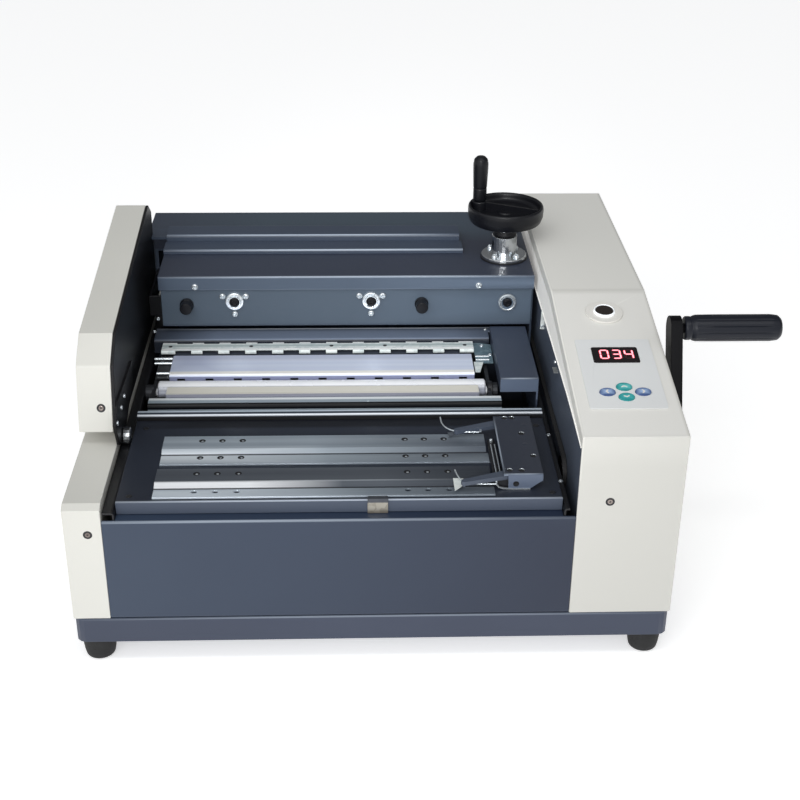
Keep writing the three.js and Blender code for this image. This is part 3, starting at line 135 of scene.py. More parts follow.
SOCKETS = {1: "NodeSocketFloat", 3: "NodeSocketVector", 4: "NodeSocketColor"}
SKIN = {"Colour": 4, "Roughness": 1, "Height": 1}


def group_of(name, inputs, outputs):
    """A new shader group and its two ends, from the inputs' values and the outputs' sizes in numbers."""
    tree = bpy.data.node_groups.new(name, "ShaderNodeTree")
    for socket, value in inputs.items():
        made = tree.interface.new_socket(name=socket, in_out="INPUT", socket_type=SOCKETS[np.size(value)])
        made.default_value = value
    for socket, size in outputs.items():
        tree.interface.new_socket(name=socket, in_out="OUTPUT", socket_type=SOCKETS[size])
    return tree, tree.nodes.new("NodeGroupInput").outputs, tree.nodes.new("NodeGroupOutput").inputs


def feed(tree, ends, sources):
    """Links each source to the end of its name."""
    for socket, source in sources.items():
        tree.links.new(source, ends[socket])


def place_in(tree):
    """The object's own coordinates."""
    return node_in(tree, "TexCoord", {})["Object"]


def noise_in(tree, place, scale, detail, name):
    """A noise texture read at a place, its scale a socket or a number."""
    return node_in(tree, "TexNoise", {"Vector": place, "Scale": scale, "Detail": detail}, name=name)["Fac"]


def spread(tree, value, low=0.0, high=1.0):
    """Maps 0.25..0.75 of a noise on low..high."""
    ends = {"Value": value, "From Min": 0.25, "From Max": 0.75, "To Min": low, "To Max": high}
    return node_in(tree, "MapRange", ends)["Result"]


def blend_of(tree, factor, first, second):
    """Colour mix: first times one minus the factor, plus second times the factor."""
    return node_in(tree, "Mix", {"Factor": factor, "A": first, "B": second}, data_type="RGBA")["Result"]


def skin_ends(tree, ends, inside, share, fine, height):
    """A skin's outputs: a share of its second colour in its first, a roughness spread by a noise, a height."""
    feed(tree, ends, {
        "Colour": blend_of(tree, share, inside[0], inside[1]),
        "Roughness": spread(tree, fine, inside["Smooth"], inside["Rough"]), "Height": height})


def machine(x, y, z):
    """Millimetres from the machine's left front corner on the floor as metres: less half its box, over 1000."""
    half_width, half_depth = 361.0, 284.5
    parts = np.broadcast_arrays(np.asarray(x) - half_width, np.asarray(y) - half_depth, np.asarray(z))
    return np.stack(parts, -1) / 1000.0


coat, coat_in, coat_out = group_of("coat_skin", {
    "Colour": (0.5, 0.5, 0.5, 1), "Shade": (0.4, 0.4, 0.4, 1), "Smooth": 0.35, "Rough": 0.5,
    "Grain": 1800.0}, SKIN)
coat_place = place_in(coat)
coat_drift = spread(coat, noise_in(coat, coat_place, 7, 3, "drift"))
coat_peel = noise_in(coat, coat_place, coat_in["Grain"], 2, "peel")
skin_ends(coat, coat_out, coat_in, coat_drift, coat_peel, coat_peel)
patch, patch_in, patch_out = group_of("patch_mask", {
    "Centre": (0, 0, 0), "Reach": (0.01, 0.01, 0.01), "Solid": 0.7, "Amount": 1.0}, {"Mask": 1})
patch_way = node_in(patch, "VectorMath", {0: place_in(patch), 1: patch_in["Centre"]}, operation="SUBTRACT")
patch_far = node_in(patch, "VectorMath", {0: patch_way["Vector"]}, operation="ABSOLUTE")
patch_share = node_in(patch, "VectorMath", {0: patch_far["Vector"], 1: patch_in["Reach"]}, operation="DIVIDE")
patch_parts = node_in(patch, "SeparateXYZ", {"Vector": patch_share["Vector"]})
patch_level = node_in(patch, "Math", {0: patch_parts["X"], 1: patch_parts["Y"]}, operation="MAXIMUM")
patch_most = node_in(patch, "Math", {0: patch_level["Value"], 1: patch_parts["Z"]}, operation="MAXIMUM")
feed(patch, patch_out, {"Mask": node_in(patch, "MapRange", {
    "Value": patch_most["Value"], "From Min": patch_in["Solid"], "To Min": patch_in["Amount"],
    "To Max": 0.0})["Result"]})


def finish(name, skin, bump, *values, patches=(), **shader):
    """A material: the skin group feeds colour, roughness and a bump, and shader is set as it is.

    At the strength 1 the bump is 0.2 mm deep. The values are the skin's inputs in turn: its two colours of
    0 to 255, then smooth, rough and fineness.
    Each patch is (centre, reach, colour, solid, amount) in machine millimetres: a box in which the colour
    changes by one minus the largest of |p - centre| / reach, full inside the solid share of it.
    """
    material = bpy.data.materials.new(name)
    material.use_nodes = True
    tree = material.node_tree
    shade = tree.nodes["Principled BSDF"].inputs
    for socket, value in shader.items():
        shade[socket.replace("_", " ")].default_value = value
    looks = [tone(*value) if np.size(value) == 3 else value for value in values]
    skin_out = node_in(tree, "Group", dict(enumerate(looks)), node_tree=skin)
    colour = skin_out["Colour"]
    for centre, reach, tint, solid, amount in patches:
        box = {"Centre": machine(*centre).tolist(), "Reach": (np.array(reach) / 1000.0).tolist(),
               "Solid": solid, "Amount": amount}
        colour = blend_of(tree, node_in(tree, "Group", box, node_tree=patch)["Mask"], colour, tone(*tint))
    relief = node_in(tree, "Bump", {"Strength": bump, "Distance": 0.0002, "Height": skin_out["Height"]})
    feed(tree, shade, {
        "Base Color": colour, "Roughness": skin_out["Roughness"], "Normal": relief["Normal"]})
    material.diffuse_color = looks[0]
    return material


def painted(name, colour, shade, smooth=0.36, patches=(), **shader):
    """The blue-grey or black coat of a folded sheet: rough is smooth plus 0.14, the grain 1500."""
    return finish(name, coat, 0.12, colour, shade, smooth, smooth + 0.14, 1500, patches=patches, **shader)


# Base tray. A shallow pan of folded steel sheet with round corners that everything is bolted to.
# It is coated in the same blue-grey as the front panel, with a painted highlight along the fold.
def dress(material, width, *names, segments=2):
    """Puts a finish on solids of the frame and eases their corners over 35 degrees by a width in metres.

    Points within 0.01 mm of each other are welded first.
    """
    for name in names:
        node = nodes[name]
        node.data.materials.clear()
        node.data.materials.append(material)
        if width:
            weld = node.modifiers.new("weld", "WELD")
            weld.merge_threshold = 0.00001
            ease = node.modifiers.new("ease", "BEVEL")
            ease.width, ease.segments = width, segments
            ease.limit_method, ease.angle_limit = "ANGLE", np.radians(35)


# A pale tint for painted highlights where light catches the eased folds.
highlight_tint = (176, 188, 202)
tray_coat = painted("tray_coat", (55, 63, 82), (50, 58, 77), patches=[
    ((300, 0.6, 55), (330, 1.6, 1.6), highlight_tint, 0.3, 0.35)])
dress(tray_coat, 0.0008, "base_tray")


# Rubber feet. Four turned buffers under the tray, wider above and round at the floor.
# Each is one profile of radius and height carried once round its own upright axis.
rubber_skin, rubber_in, rubber_out = group_of("rubber_skin", {
    "Colour": (0.02, 0.02, 0.02, 1), "Dust": (0.05, 0.05, 0.05, 1)}, SKIN)
rubber_place = place_in(rubber_skin)
rubber_fine = noise_in(rubber_skin, rubber_place, 900, 3, "pores")
rubber_dust = spread(rubber_skin, noise_in(rubber_skin, rubber_place, 60, 5, "dust"), 0, 0.6)
feed(rubber_skin, rubber_out, {
    "Colour": blend_of(rubber_skin, rubber_dust, rubber_in["Colour"], rubber_in["Dust"]),
    "Roughness": spread(rubber_skin, rubber_fine, 0.62, 0.86), "Height": rubber_fine})
black_rubber = finish("black_rubber", rubber_skin, 0.3, (20, 20, 21), (40, 40, 41))


def mesh_piece(name, points, faces, body, look, sharp=32.0):
    """A new piece from points and quads: doubles within 0.002 mm merged and faces turned outwards.

    It is smooth but for edges over sharp degrees. The look is a material and the name of a slot, which is not
    used.
    """
    mesh = bpy.data.meshes.new(name)
    points = np.asarray(points, np.float32).reshape(-1, 3)
    faces = np.asarray(faces, np.int32).reshape(-1, 4)
    mesh.vertices.add(len(points))
    mesh.vertices.foreach_set("co", points.ravel())
    mesh.loops.add(faces.size)
    mesh.loops.foreach_set("vertex_index", faces.ravel())
    mesh.polygons.add(len(faces))
    mesh.polygons.foreach_set("loop_start", 4 * np.arange(len(faces)))
    mesh.polygons.foreach_set("loop_total", np.full(len(faces), 4))
    mesh.update(calc_edges=True)
    work = bmesh.new()
    work.from_mesh(mesh)
    bmesh.ops.remove_doubles(work, verts=work.verts, dist=0.000002)
    bmesh.ops.dissolve_degenerate(work, dist=0.000001, edges=work.edges)
    bmesh.ops.recalc_face_normals(work, faces=work.faces)
    work.to_mesh(mesh)
    work.free()
    mesh.polygons.foreach_set("use_smooth", np.ones(len(mesh.polygons), bool))
    mesh.set_sharp_from_angle(angle=np.radians(sharp))
    material, slot_name = look
    mesh.materials.append(material)
    piece = bpy.data.objects.new(name, mesh)
    bpy.context.scene.collection.objects.link(piece)
    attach(piece, body)
    return piece


def grid_faces(rows, columns, copies=1):
    """Quads between neighbours of a grid of rows x columns points, closed round the columns, copy by copy."""
    i, j = np.meshgrid(np.arange(rows - 1) * columns, np.arange(columns), indexing="ij")
    after = (j + 1) % columns
    quads = np.stack([i + j, i + after, i + columns + after, i + columns + j], -1).reshape(-1, 4)
    return quads + rows * columns * np.arange(copies)[:, None, None]


def full_turn(steps):
    """The angles of so many even steps of a full turn: 2 pi k over their number."""
    return np.linspace(0, 2.0 * np.pi, steps, endpoint=False)


def rounded_profile(profile, radius):
    """Each inner corner of a profile becomes an arc: (1 - t)^2 start + 2 t (1 - t) corner + t^2 end.

    Start and end lie on the two legs, a radius from the corner or 0.45 of the shorter leg.
    """
    p = np.asarray(profile, float)
    before, corner, after = p[:-2], p[1:-1], p[2:]
    to_before, to_after = before - corner, after - corner
    length_before = np.linalg.norm(to_before, axis=1, keepdims=True)
    length_after = np.linalg.norm(to_after, axis=1, keepdims=True)
    reach = np.minimum(radius, np.minimum(length_before, length_after) * 0.45)
    start = corner + to_before / length_before * reach
    end = corner + to_after / length_after * reach
    t = np.linspace(0, 1, 5)[None, :, None]
    arcs = (1 - t) ** 2 * start[:, None] + 2 * t * (1 - t) * corner[:, None] + t ** 2 * end[:, None]
    return np.vstack([p[:1], arcs.reshape(-1, 2), p[-1:]])


def turned(name, profile, centre, axis, body, look, radius, steps=64):
    """A profile (radius, height) in millimetres carried round an axis through centre: r cos t, r sin t, h."""
    outline = rounded_profile(profile, radius)
    t = full_turn(steps)
    r, h = outline[:, :1], outline[:, 1:]
    across, over, along = np.roll(np.eye(3), 1 if axis == "x" else 0, axis=1)
    ring = (r * np.cos(t))[..., None] * across + (r * np.sin(t))[..., None] * over
    points = (ring + (h + 0 * t)[..., None] * along) / 1000.0 + machine(*centre)
    return mesh_piece(name, points, grid_faces(len(outline), steps), body, look)


foot_profile = [(0, 0), (11.2, 0), (14.6, 2), (15.8, 8), (16.6, 15), (17, 22), (17, 26.7), (0, 26.7)]
for foot_side, foot_x in (("left", 20), ("right", 580)):
    for foot_row, foot_y in (("front", 20), ("back", 549)):
        foot = turned(f"foot_{foot_row}_{foot_side}_rubber", foot_profile, (foot_x, foot_y, 0), "z",
                      "housing", (black_rubber, "rubber"), 1.6)
        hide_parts(f"foot_{foot_row}_{foot_side}")


# Front and back panels. Folded blue-grey sheets that close the machine between the two covers.
# Their flanges turn inwards, so only the eased outer folds are seen. The front one has a painted highlight
# on its top fold and painted shade that darkens it to the right.
blue_tones = (58, 68, 88), (53, 63, 83)
blue_coat = painted("blue_coat", *blue_tones)
panel_coat = painted("panel_coat", (51, 64, 84), (47, 60, 80), patches=[
    ((267, 0.8, 169.5), (300, 1.9, 1.9), highlight_tint, 0.4, 0.7),
    ((600, 0, 110), (560, 40, 200), (18, 28, 50), 0.1, 0.9)])
dress(panel_coat, 0.0006, "front_panel")
dress(blue_coat, 0.0005, "back_panel")


# Covers. The low left box and the tall right box with its sloping face are folded and welded of coated sheet.
# Their folds are eased by about a millimetre, and each is held in front by one screw sunk in a black cup.
UP, FRONT, RIGHT = (0, 0, 1), (0, -1, 0), (1, 0, 0)


def stand(points, centre, facing, turn=0.0):
    """Points (a, b, h) on a surface: centre + a side + b over + h facing, turned about the facing.

    The side is the cross product of a guide and the facing, and over is that of the facing and the side.
    The guide is Y where the facing is within about 26 degrees of upright, and Z elsewhere.
    """
    facing = np.asarray(facing, float) / np.linalg.norm(facing)
    side = np.cross([0, 1, 0] if abs(facing[2]) > 0.9 else [0, 0, 1], facing)
    side /= np.linalg.norm(side)
    over = np.cross(facing, side)
    turn = np.asarray(turn, float)[..., None, None]
    aside, along = np.cos(turn) * side + np.sin(turn) * over, np.cos(turn) * over - np.sin(turn) * side
    points, centre = np.asarray(points, float), np.asarray(centre, float)
    place = points[..., :1] * aside + points[..., 1:2] * along + points[..., 2:] * facing
    return machine(*np.moveaxis(place + centre[..., None, :], -1, 0))


def studs(name, outline, centres, facing, body, look, cross=0.0, radius=0.0, steps=36, sharp=32.0):
    """Turned heads in one mesh: (r cos t, r sin t, h) at each centre, less a cross-shaped dip in the middle.

    The dip is cross times the larger of two arms, each clip(2 - |a| / 0.13 R) clip(3 - |b| / 0.22 R) in 0..1.
    The nth head is turned by 0.4 + 1.9 n, so that no two crosses stand alike.
    """
    outline = rounded_profile(outline, radius) if radius else np.asarray(outline, float)
    centres = np.atleast_2d(np.asarray(centres, float))
    t = full_turn(steps)
    a, b = outline[:, :1] * np.cos(t), outline[:, :1] * np.sin(t)
    far = outline[:, 0].max()
    narrow_a, narrow_b = (np.clip(2.0 - np.abs(v) / (0.13 * far), 0, 1) for v in (a, b))
    short_a, short_b = (np.clip(3.0 - np.abs(v) / (0.22 * far), 0, 1) for v in (a, b))
    upper = (np.arange(len(outline)) <= np.argmax(outline[:, 0]))[:, None]
    h = outline[:, 1:] - cross * np.maximum(narrow_a * short_b, narrow_b * short_a) * upper
    local = np.stack([a, b, h + 0.0 * t], -1).reshape(1, -1, 3)
    points = stand(local, centres, facing, 0.4 + 1.9 * np.arange(len(centres)))
    return mesh_piece(name, points, grid_faces(len(outline), steps, len(centres)), body, look, sharp)


bright_skin, bright_in, bright_out = group_of("bright_skin", {
    "Colour": (0.6, 0.6, 0.6, 1), "Haze": (0.5, 0.5, 0.5, 1), "Smooth": 0.08, "Rough": 0.2}, SKIN)
bright_place = place_in(bright_skin)
bright_haze = spread(bright_skin, noise_in(bright_skin, bright_place, 30, 4, "haze"))
bright_polish = noise_in(bright_skin, bright_place, 400, 2, "polish")
skin_ends(bright_skin, bright_out, bright_in, bright_haze, bright_haze, bright_polish)
zinc = finish("screw_zinc", bright_skin, 0.03, (232, 238, 242), (206, 214, 220), 0.14, 0.28,
              Metallic=0.8), "zinc_steel"


def glints(name, radius, height, centres, body, cross, facing=UP, look=zinc):
    """Pan head screws: height times 1 - 0.45 (r / R)^3 - 0.2 (r / R)^12, and then down to the seat."""
    r = np.array([0, 0.08, 0.16, 0.24, 0.32, 0.4, 0.5, 0.62, 0.74, 0.86, 0.95, 1])
    h = height * (1.0 - 0.45 * r ** 3 - 0.2 * r ** 12)
    outline = np.vstack([np.stack([r * radius, h], -1), [(radius, -0.3), (0, -0.3)]])
    studs(name, outline, centres, facing, body, look, cross)


ivory_coat = finish("ivory_coat", coat, 0.14, (218, 217, 210), (214, 213, 206), 0.4, 0.55, 1300)
black_coat = finish("black_coat", coat, 0.15, (26, 27, 31), (22, 23, 27), 0.36, 0.5, 1400)
black = black_coat, "black_plate"
# The right cover's ivory is a darker copy of the left cover's; painted light brightens its slope, its top and
# its inner edge, and painted shade darkens its front face a little.
right_ivory_painted_light = finish("right_ivory_painted_light", coat, 0.14, (207, 206, 200), (203, 202, 196), 0.4, 0.55, 1300, patches=[
    ((548, -0.1, 130), (60, 3, 120), (199, 198, 192), 0.8, 1),
    ((548, 20, 279), (51.4, 240, 20.6), (232, 231, 226), 0.94, 1),
    ((548, 430, 297), (51.4, 180, 9), (236, 235, 229), 0.94, 1),
    ((497, 284.5, 270), (1.7, 300, 60), (246, 245, 238), 0.8, 0.85)])
dress(ivory_coat, 0.0012, "left_cover", segments=3)
dress(right_ivory_painted_light, 0.0012, "right_cover", segments=3)
cup_screw = finish("cup_screw", bright_skin, 0.03, (176, 164, 158), (84, 74, 70), 0.14, 0.28, Metallic=0.85)
cup_outline = [(0, 0.05), (3.7, 0.05), (4.1, 0.2), (4.5, 0.05), (4.5, -0.5), (0, -0.5)]
for cup_name, cup_place, cup_facing, cup_body in (
        ("left_cover", (23.3, 0, 155.6), FRONT, "housing"),
        ("right_cover", (528.7, 0, 187.4), FRONT, "housing"),
        ("arm_cover", (23.8, 124.3, 228.1), (0, -0.970, 0.244), "clamp")):
    studs(f"{cup_name}_screw_cup", cup_outline, cup_place, cup_facing, cup_body, black)
    glints(f"{cup_name}_screw", 2.6, 0.3, cup_place, cup_body, 0.26, cup_facing, (cup_screw, "zinc_steel"))


# Inside of the right cover. Its inner ivory wall ends in a rolled hem over the dark side plate, which carries
# the shafts; a small angle and a tab are screwed to that. Both rail plates are plain folded strips.
def slabs(name, outlines, low, high, body, look, facing=UP, centre=(0, 0, 0)):
    """Flat plates in one mesh: outlines (a, b) at heights low and high, closed to their middles."""
    outlines = np.asarray(outlines, float)
    outlines = outlines[None] if outlines.ndim == 2 else outlines
    middle = outlines.mean(1, keepdims=True) + 0.0 * outlines
    rows = np.stack([middle, outlines, outlines, middle], 1)
    heights = np.array([low, low, high, high])[None, :, None, None] + 0.0 * rows[..., :1]
    points = stand(np.concatenate([rows, heights], -1).reshape(-1, 3), centre, facing)
    return mesh_piece(name, points, grid_faces(4, rows.shape[2], len(rows)), body, look)


def carried(name, path, profile, body, look, guide=UP, rounds=3):
    """A closed profile (a, b) carried along a path: p + a side + b over, drawn to a point at both ends.

    The path's corners are cut (each leg keeps its quarter points) so many rounds. The side is the cross
    product of the guide and the path's direction, and over is that of the direction and the side.
    """
    path = np.asarray(path, float)
    for _ in range(rounds):
        near, far = 0.75 * path[:-1] + 0.25 * path[1:], 0.25 * path[:-1] + 0.75 * path[1:]
        legs = np.stack([near, far], 1).reshape(-1, 3)
        path = np.vstack([path[:1], legs[1:-1], path[-1:]]) if len(path) > 2 else path
    ahead = np.gradient(path, axis=0)
    ahead /= np.linalg.norm(ahead, axis=1, keepdims=True)
    side = np.cross(np.asarray(guide, float), ahead)
    side /= np.linalg.norm(side, axis=1, keepdims=True)
    over = np.cross(ahead, side)
    profile = np.asarray(profile, float)
    rings = path[:, None] + profile[None, :, :1] * side[:, None] + profile[None, :, 1:] * over[:, None]
    ends = np.broadcast_to(path[[0, -1], None], (2, len(profile), 3))
    rings = np.concatenate([ends[:1], rings, ends[1:]])
    return mesh_piece(name, machine(*np.moveaxis(rings, -1, 0)), grid_faces(*rings.shape[:2]), body, look)


def round_bar(radius, steps=14):
    """A circle of the given radius as a profile: (r cos t, r sin t)."""
    t = full_turn(steps)
    return np.stack([radius * np.cos(t), radius * np.sin(t)], -1)


# The side plate is painted lighter than the other blue-grey sheets as painted light, with a painted highlight
# line along it at a height of 168.5 mm.
side_coat = painted("side_coat", (82, 90, 104), (75, 83, 97), 0.38, [
    ((499.3, 113.5, 168.5), (3, 88, 1.3), (92, 100, 114), 0.3, 0.8)])
dress(side_coat, 0.0004, "right_side_plate")
rail_coat = painted("rail_coat", (13, 14, 19), (10, 11, 15), 0.38)
dress(rail_coat, 0.0004, "left_rail_plate", "right_rail_plate")
zinc_skin, zinc_in, zinc_out = group_of("zinc_skin", {
    "Colour": (0.5, 0.5, 0.5, 1), "Shade": (0.4, 0.4, 0.4, 1), "Smooth": 0.28, "Rough": 0.46}, SKIN)
zinc_place = place_in(zinc_skin)
spangle = node_in(zinc_skin, "TexVoronoi", {"Vector": zinc_place, "Scale": 190})
spangle_tone = node_in(zinc_skin, "SeparateColor", {"Color": spangle["Color"]})["Red"]
zinc_cloud = noise_in(zinc_skin, zinc_place, 45, 5, "cloud")
skin_ends(zinc_skin, zinc_out, zinc_in, spangle_tone, zinc_cloud, zinc_cloud)
zinc_plate = finish("zinc_plate", zinc_skin, 0.1, (168, 172, 172), (150, 154, 154), 0.3, 0.5, Metallic=0.5)
bright_zinc = finish("bright_zinc", zinc_skin, 0.1, (238, 243, 240), (222, 229, 227), 0.3, 0.5,
                     Metallic=0.2), "zinc_steel"
# The inner wall and its hem are painted near white and glow faintly, as painted light on the wall facing left.
inner_ivory_glow = finish("inner_glow_coat", coat, 0.14, (252, 251, 246), (249, 248, 243), 0.42, 0.56, 1300,
                     Emission_Color=(1, 0.98, 0.94, 1), Emission_Strength=0.16), "ivory_paint"
slabs("right_cover_inner_wall", [
    (3, 246), (60, 250), (120, 251.8), (562, 251.8), (562, 297), (256, 297), (3, 257)],
    497.1, 499, "housing", inner_ivory_glow, RIGHT)
carried("right_cover_inner_hem", [(497, 3.6, 246.2), (497, 60, 250), (497, 120, 251.8), (497, 561.4, 251.8)],
        round_bar(0.75, 10), "housing", inner_ivory_glow, RIGHT, rounds=1)
slabs("side_angle_leaf", [
    (494.5, 232.5), (499.2, 232.5), (499.2, 245), (496.9, 251.2), (495.9, 256.5), (495.2, 256.5)],
    0, 1.2, "housing", bright_zinc, FRONT, (0, 300, 0))
slabs("side_angle_foot", [(300, 232.5), (316, 232.5), (316, 246), (300, 246)], 498.25, 499.3, "housing",
      bright_zinc, RIGHT)
glints("side_angle_screw", 1.9, 1.3, (497, 298.8, 236.4), "housing", 0.7, FRONT)
slabs("side_tab", [(494.6, 181.5), (499.3, 181.5), (499.3, 194), (494.6, 194)], 235.4, 236.6, "housing",
      (zinc_plate, "zinc_steel"))
glints("side_tab_screw", 2.2, 1.6, (499.2, 203, 238), "housing", 1, (-1, 0, 0))
glints("rail_screws", 2.4, 1, [(488.4, 55, 178), (488.4, 150, 178)], "housing", 0.6)


# Cover table and mid wall. The table is a folded plate; behind it a rounded wall hides the glue unit.
# A zinc plated stop is hooked over the table's front edge, and four countersunk screws hold the plate.
# The table gets a painted highlight on its front fold, painted light on its front lip and painted shade towards
# the mid wall.
table_coat = painted("table_coat", (40, 45, 56), (36, 41, 52), 0.38, [
    ((267, 13.5, 183.6), (300, 2.4, 2.4), (196, 206, 220), 0.4, 0.85),
    ((267, 8, 176), (240, 5.6, 8), (72, 80, 95), 0.9, 1),
    ((267, 173, 184), (230, 15, 4), (14, 17, 25), 0.7, 0.95)], Specular_IOR_Level=0.3)
# The mid wall's front is painted near black as painted shade; its rounded top gets two painted highlights with
# a line of painted shade between them.
wall_coat = painted("wall_coat", *blue_tones, patches=[
    ((267, 177.6, 160), (230, 3, 28.5), (7, 8, 12), 0.94, 1),
    ((267, 190, 190), (400, 7.6, 2.4), (210, 224, 236), 0.6, 0.95),
    ((267, 183.8, 190), (400, 1.8, 2), (26, 32, 42), 0.5, 0.9),
    ((267, 180, 189.6), (400, 2.4, 2.4), (240, 246, 252), 0.4, 1)], Specular_IOR_Level=0.12)
dress(table_coat, 0.0008, "deck_plate")
dress(wall_coat, 0.0006, "mid_wall")
tab_steel = finish("tab_steel", zinc_skin, 0.1, (166, 162, 152), (140, 136, 126), 0.26, 0.44, patches=[
    ((300, 20, 186), (200, 16, 4), (58, 64, 76), 0.8, 0.9),
    ((300, 10, 170), (200, 8, 5), (96, 88, 78), 0.3, 0.7)], Metallic=0.5)
dress(tab_steel, 0.0003, "deck_tab")
glints("table_screws", 3.2, 0.9, [(62, 24, 184), (62, 160, 184), (476, 24, 184), (476, 160, 184)], "housing",
       0.5, look=black)


# Nip jaws. Two ground steel bars with a bevelled nose and a thin strip before each, drilled in groups of three.
# The grinding leaves fine streaks, a noise drawn out along X. The steel is painted bright at the left and dark
# at the right as painted reflection; the front bar takes a darker shaded copy with painted highlight lines, and
# the gaps at the strips get painted shade. Each bore of both bars and of the rear strip is lined by a black cup
# as painted shade, with a small zinc disc in it as a painted glint.
streak, streak_in, streak_out = group_of("ground_streaks", {
    "Colour": (0.5, 0.5, 0.5, 1), "Shade": (0.4, 0.4, 0.4, 1), "Smooth": 0.25, "Rough": 0.42,
    "Fine": 700.0}, SKIN)
streak_place = node_in(streak, "Mapping", {"Vector": place_in(streak), "Scale": (0.02, 1, 1)})["Vector"]
streak_fine = noise_in(streak, streak_place, streak_in["Fine"], 4, "streaks")
streak_wide = spread(streak, noise_in(streak, streak_place, 90, 3, "bands"))
skin_ends(streak, streak_out, streak_in, streak_wide, streak_fine, streak_fine)
# Thin dark lines of painted shade in the gaps before the two strips.
rear_gap_shade = ((251, 98.9, 187.5), (400, 1.1, 3), (22, 25, 32), 0.4, 0.95)
front_gap_shade = ((251, 32.8, 187.5), (400, 1.1, 3), (22, 25, 32), 0.4, 0.95)
ground_steel = finish("ground_steel", streak, 0.15, (188, 199, 208), (156, 168, 180), 0.32, 0.52, patches=[
    ((430, 105, 188), (190, 44, 12), (62, 69, 82), 0.1, 0.8),
    ((430, 24, 186), (190, 24, 12), (62, 69, 80), 0.1, 0.75),
    ((85, 24, 186), (210, 14, 6), (236, 246, 255), 0.2, 0.85),
    ((85, 96, 186), (170, 16, 5), (242, 249, 255), 0.2, 0.85), rear_gap_shade, front_gap_shade], Metallic=0.5)
shaded_steel = finish("shaded_steel", streak, 0.15, (104, 110, 118), (82, 88, 97), 0.32, 0.5, 700, patches=[
    ((251, 80, 190), (180, 8.5, 1.5), (52, 58, 68), 0.7, 0.6),
    ((251, 41, 190), (172, 1.4, 1.5), (196, 204, 212), 0.3, 0.7),
    ((440, 56, 188), (130, 50, 12), (38, 44, 54), 0.1, 0.8),
    ((85, 36.5, 187.5), (185, 6, 5), (250, 252, 255), 0.5, 0.95), front_gap_shade], Metallic=0.5)
dress(ground_steel, 0.0003, "nip_rear_bar", "nip_rear_strip", "nip_front_strip")
dress(shaded_steel, 0.0003, "nip_front_bar")
hole_shade = finish("hole_shade", rubber_skin, 0.1, (10, 11, 14), (20, 22, 27))
shaded_hole = hole_shade, "black_plate"
jaw_left, jaw_span, jaw_shares = 85, 332, np.array([0.12, 0.182, 0.245, 0.75, 0.81, 0.872])
drill_x = jaw_left + jaw_span * jaw_shares
drill_outline = [(0, 0.03), (2.5, 0.03), (2.9, 0.16), (3.4, 0.03), (3.4, -0.4), (0, -0.4)]
drill_look = hole_shade, "bare_steel"
drill_glint = [(0, 0.12), (0.9, 0.1), (1.4, 0.02), (1.4, -0.3), (0, -0.3)]
# Each bore gets a black cup as painted shade and a small zinc disc as a painted glint.
for drill_row, drill_y, drill_z, drill_body in (
        ("rear_bar", 122, 190, "housing"), ("rear_strip", 93.7, 186.3, "housing"),
        ("front_bar", 56, 190, "nip")):
    drilled = np.stack([drill_x, drill_y + 0 * drill_x, drill_z + 0 * drill_x], -1)
    studs(f"nip_{drill_row}_bores", drill_outline, drilled, UP, drill_body, drill_look, steps=24)
    studs(f"nip_{drill_row}_screws", drill_glint, drilled + (0.5, -0.9, 0), UP, drill_body, zinc, steps=16)


# Register. A folded bridge in blue-grey with two sprung levers that hold the edge of the cover sheet.
# Each lever ends in a small leaf and is pressed down by a bent spring wire; bolts hold the bridge from above.
def arc_at(x, y, z, radius, turn):
    """Points of an arc that lies level: x + r cos t, y + r sin t, z."""
    return np.stack([x + radius * np.cos(turn), y + radius * np.sin(turn), z + 0 * turn], -1)


chrome = finish("chrome", bright_skin, 0.02, (216, 219, 222), (196, 200, 204), 0.1, 0.22, Metallic=1.0)
# The bridge's front face is painted lighter as painted light, and painted highlights run along its folds.
bridge_coat = painted("bridge_coat", (46, 51, 63), (42, 47, 59), patches=[
    ((447, 30.8, 192), (22, 1.6, 9.4), (86, 97, 116), 0.9, 1),
    ((447, 31.4, 200.6), (22, 1.4, 1.4), highlight_tint, 0.3, 0.7),
    ((428.4, 90, 200.6), (1.3, 62, 1.4), highlight_tint, 0.3, 0.6)])
lever_coat = painted("lever_coat", (74, 82, 96), (66, 74, 88), 0.34)
dress(bridge_coat, 0.0003, "register_plate")
dress(lever_coat, 0.0003, "register_lever_front", "register_lever_rear")
carried("rear_spring_wire", [
    (372.6, 151.5, 199.5), (373.2, 144, 197.5), (376.5, 136, 196), (384.1, 129.2, 195.6), (392.4, 126.4, 195.5),
    (411.6, 126.1, 195.5)], round_bar(0.8), "lever_rear", zinc)
carried("front_spring_wire", [
    (381, 48, 196.5), (383, 40.5, 194.5), (387.5, 32, 192.4), (394, 28.4, 192), (420.5, 27.6, 192)],
    round_bar(0.8), "lever_front", zinc)
slabs("front_lever_leaf", [(379.2, 17.8), (389.6, 30), (389, 40.6), (378.9, 41.4)], 190.2, 191, "lever_front",
      bright_zinc)
slabs("rear_lever_leaf", [(380.4, 121.5), (392, 128), (391.6, 131), (379.2, 130)], 192.6, 193.4, "lever_rear",
      (shaded_steel, "bare_steel"))
slabs("rear_spring_end", [(412, 126.2), (414.2, 126.2), (415, 137.6), (412.8, 137.6)], 195.4, 196.6,
      "lever_rear", zinc)
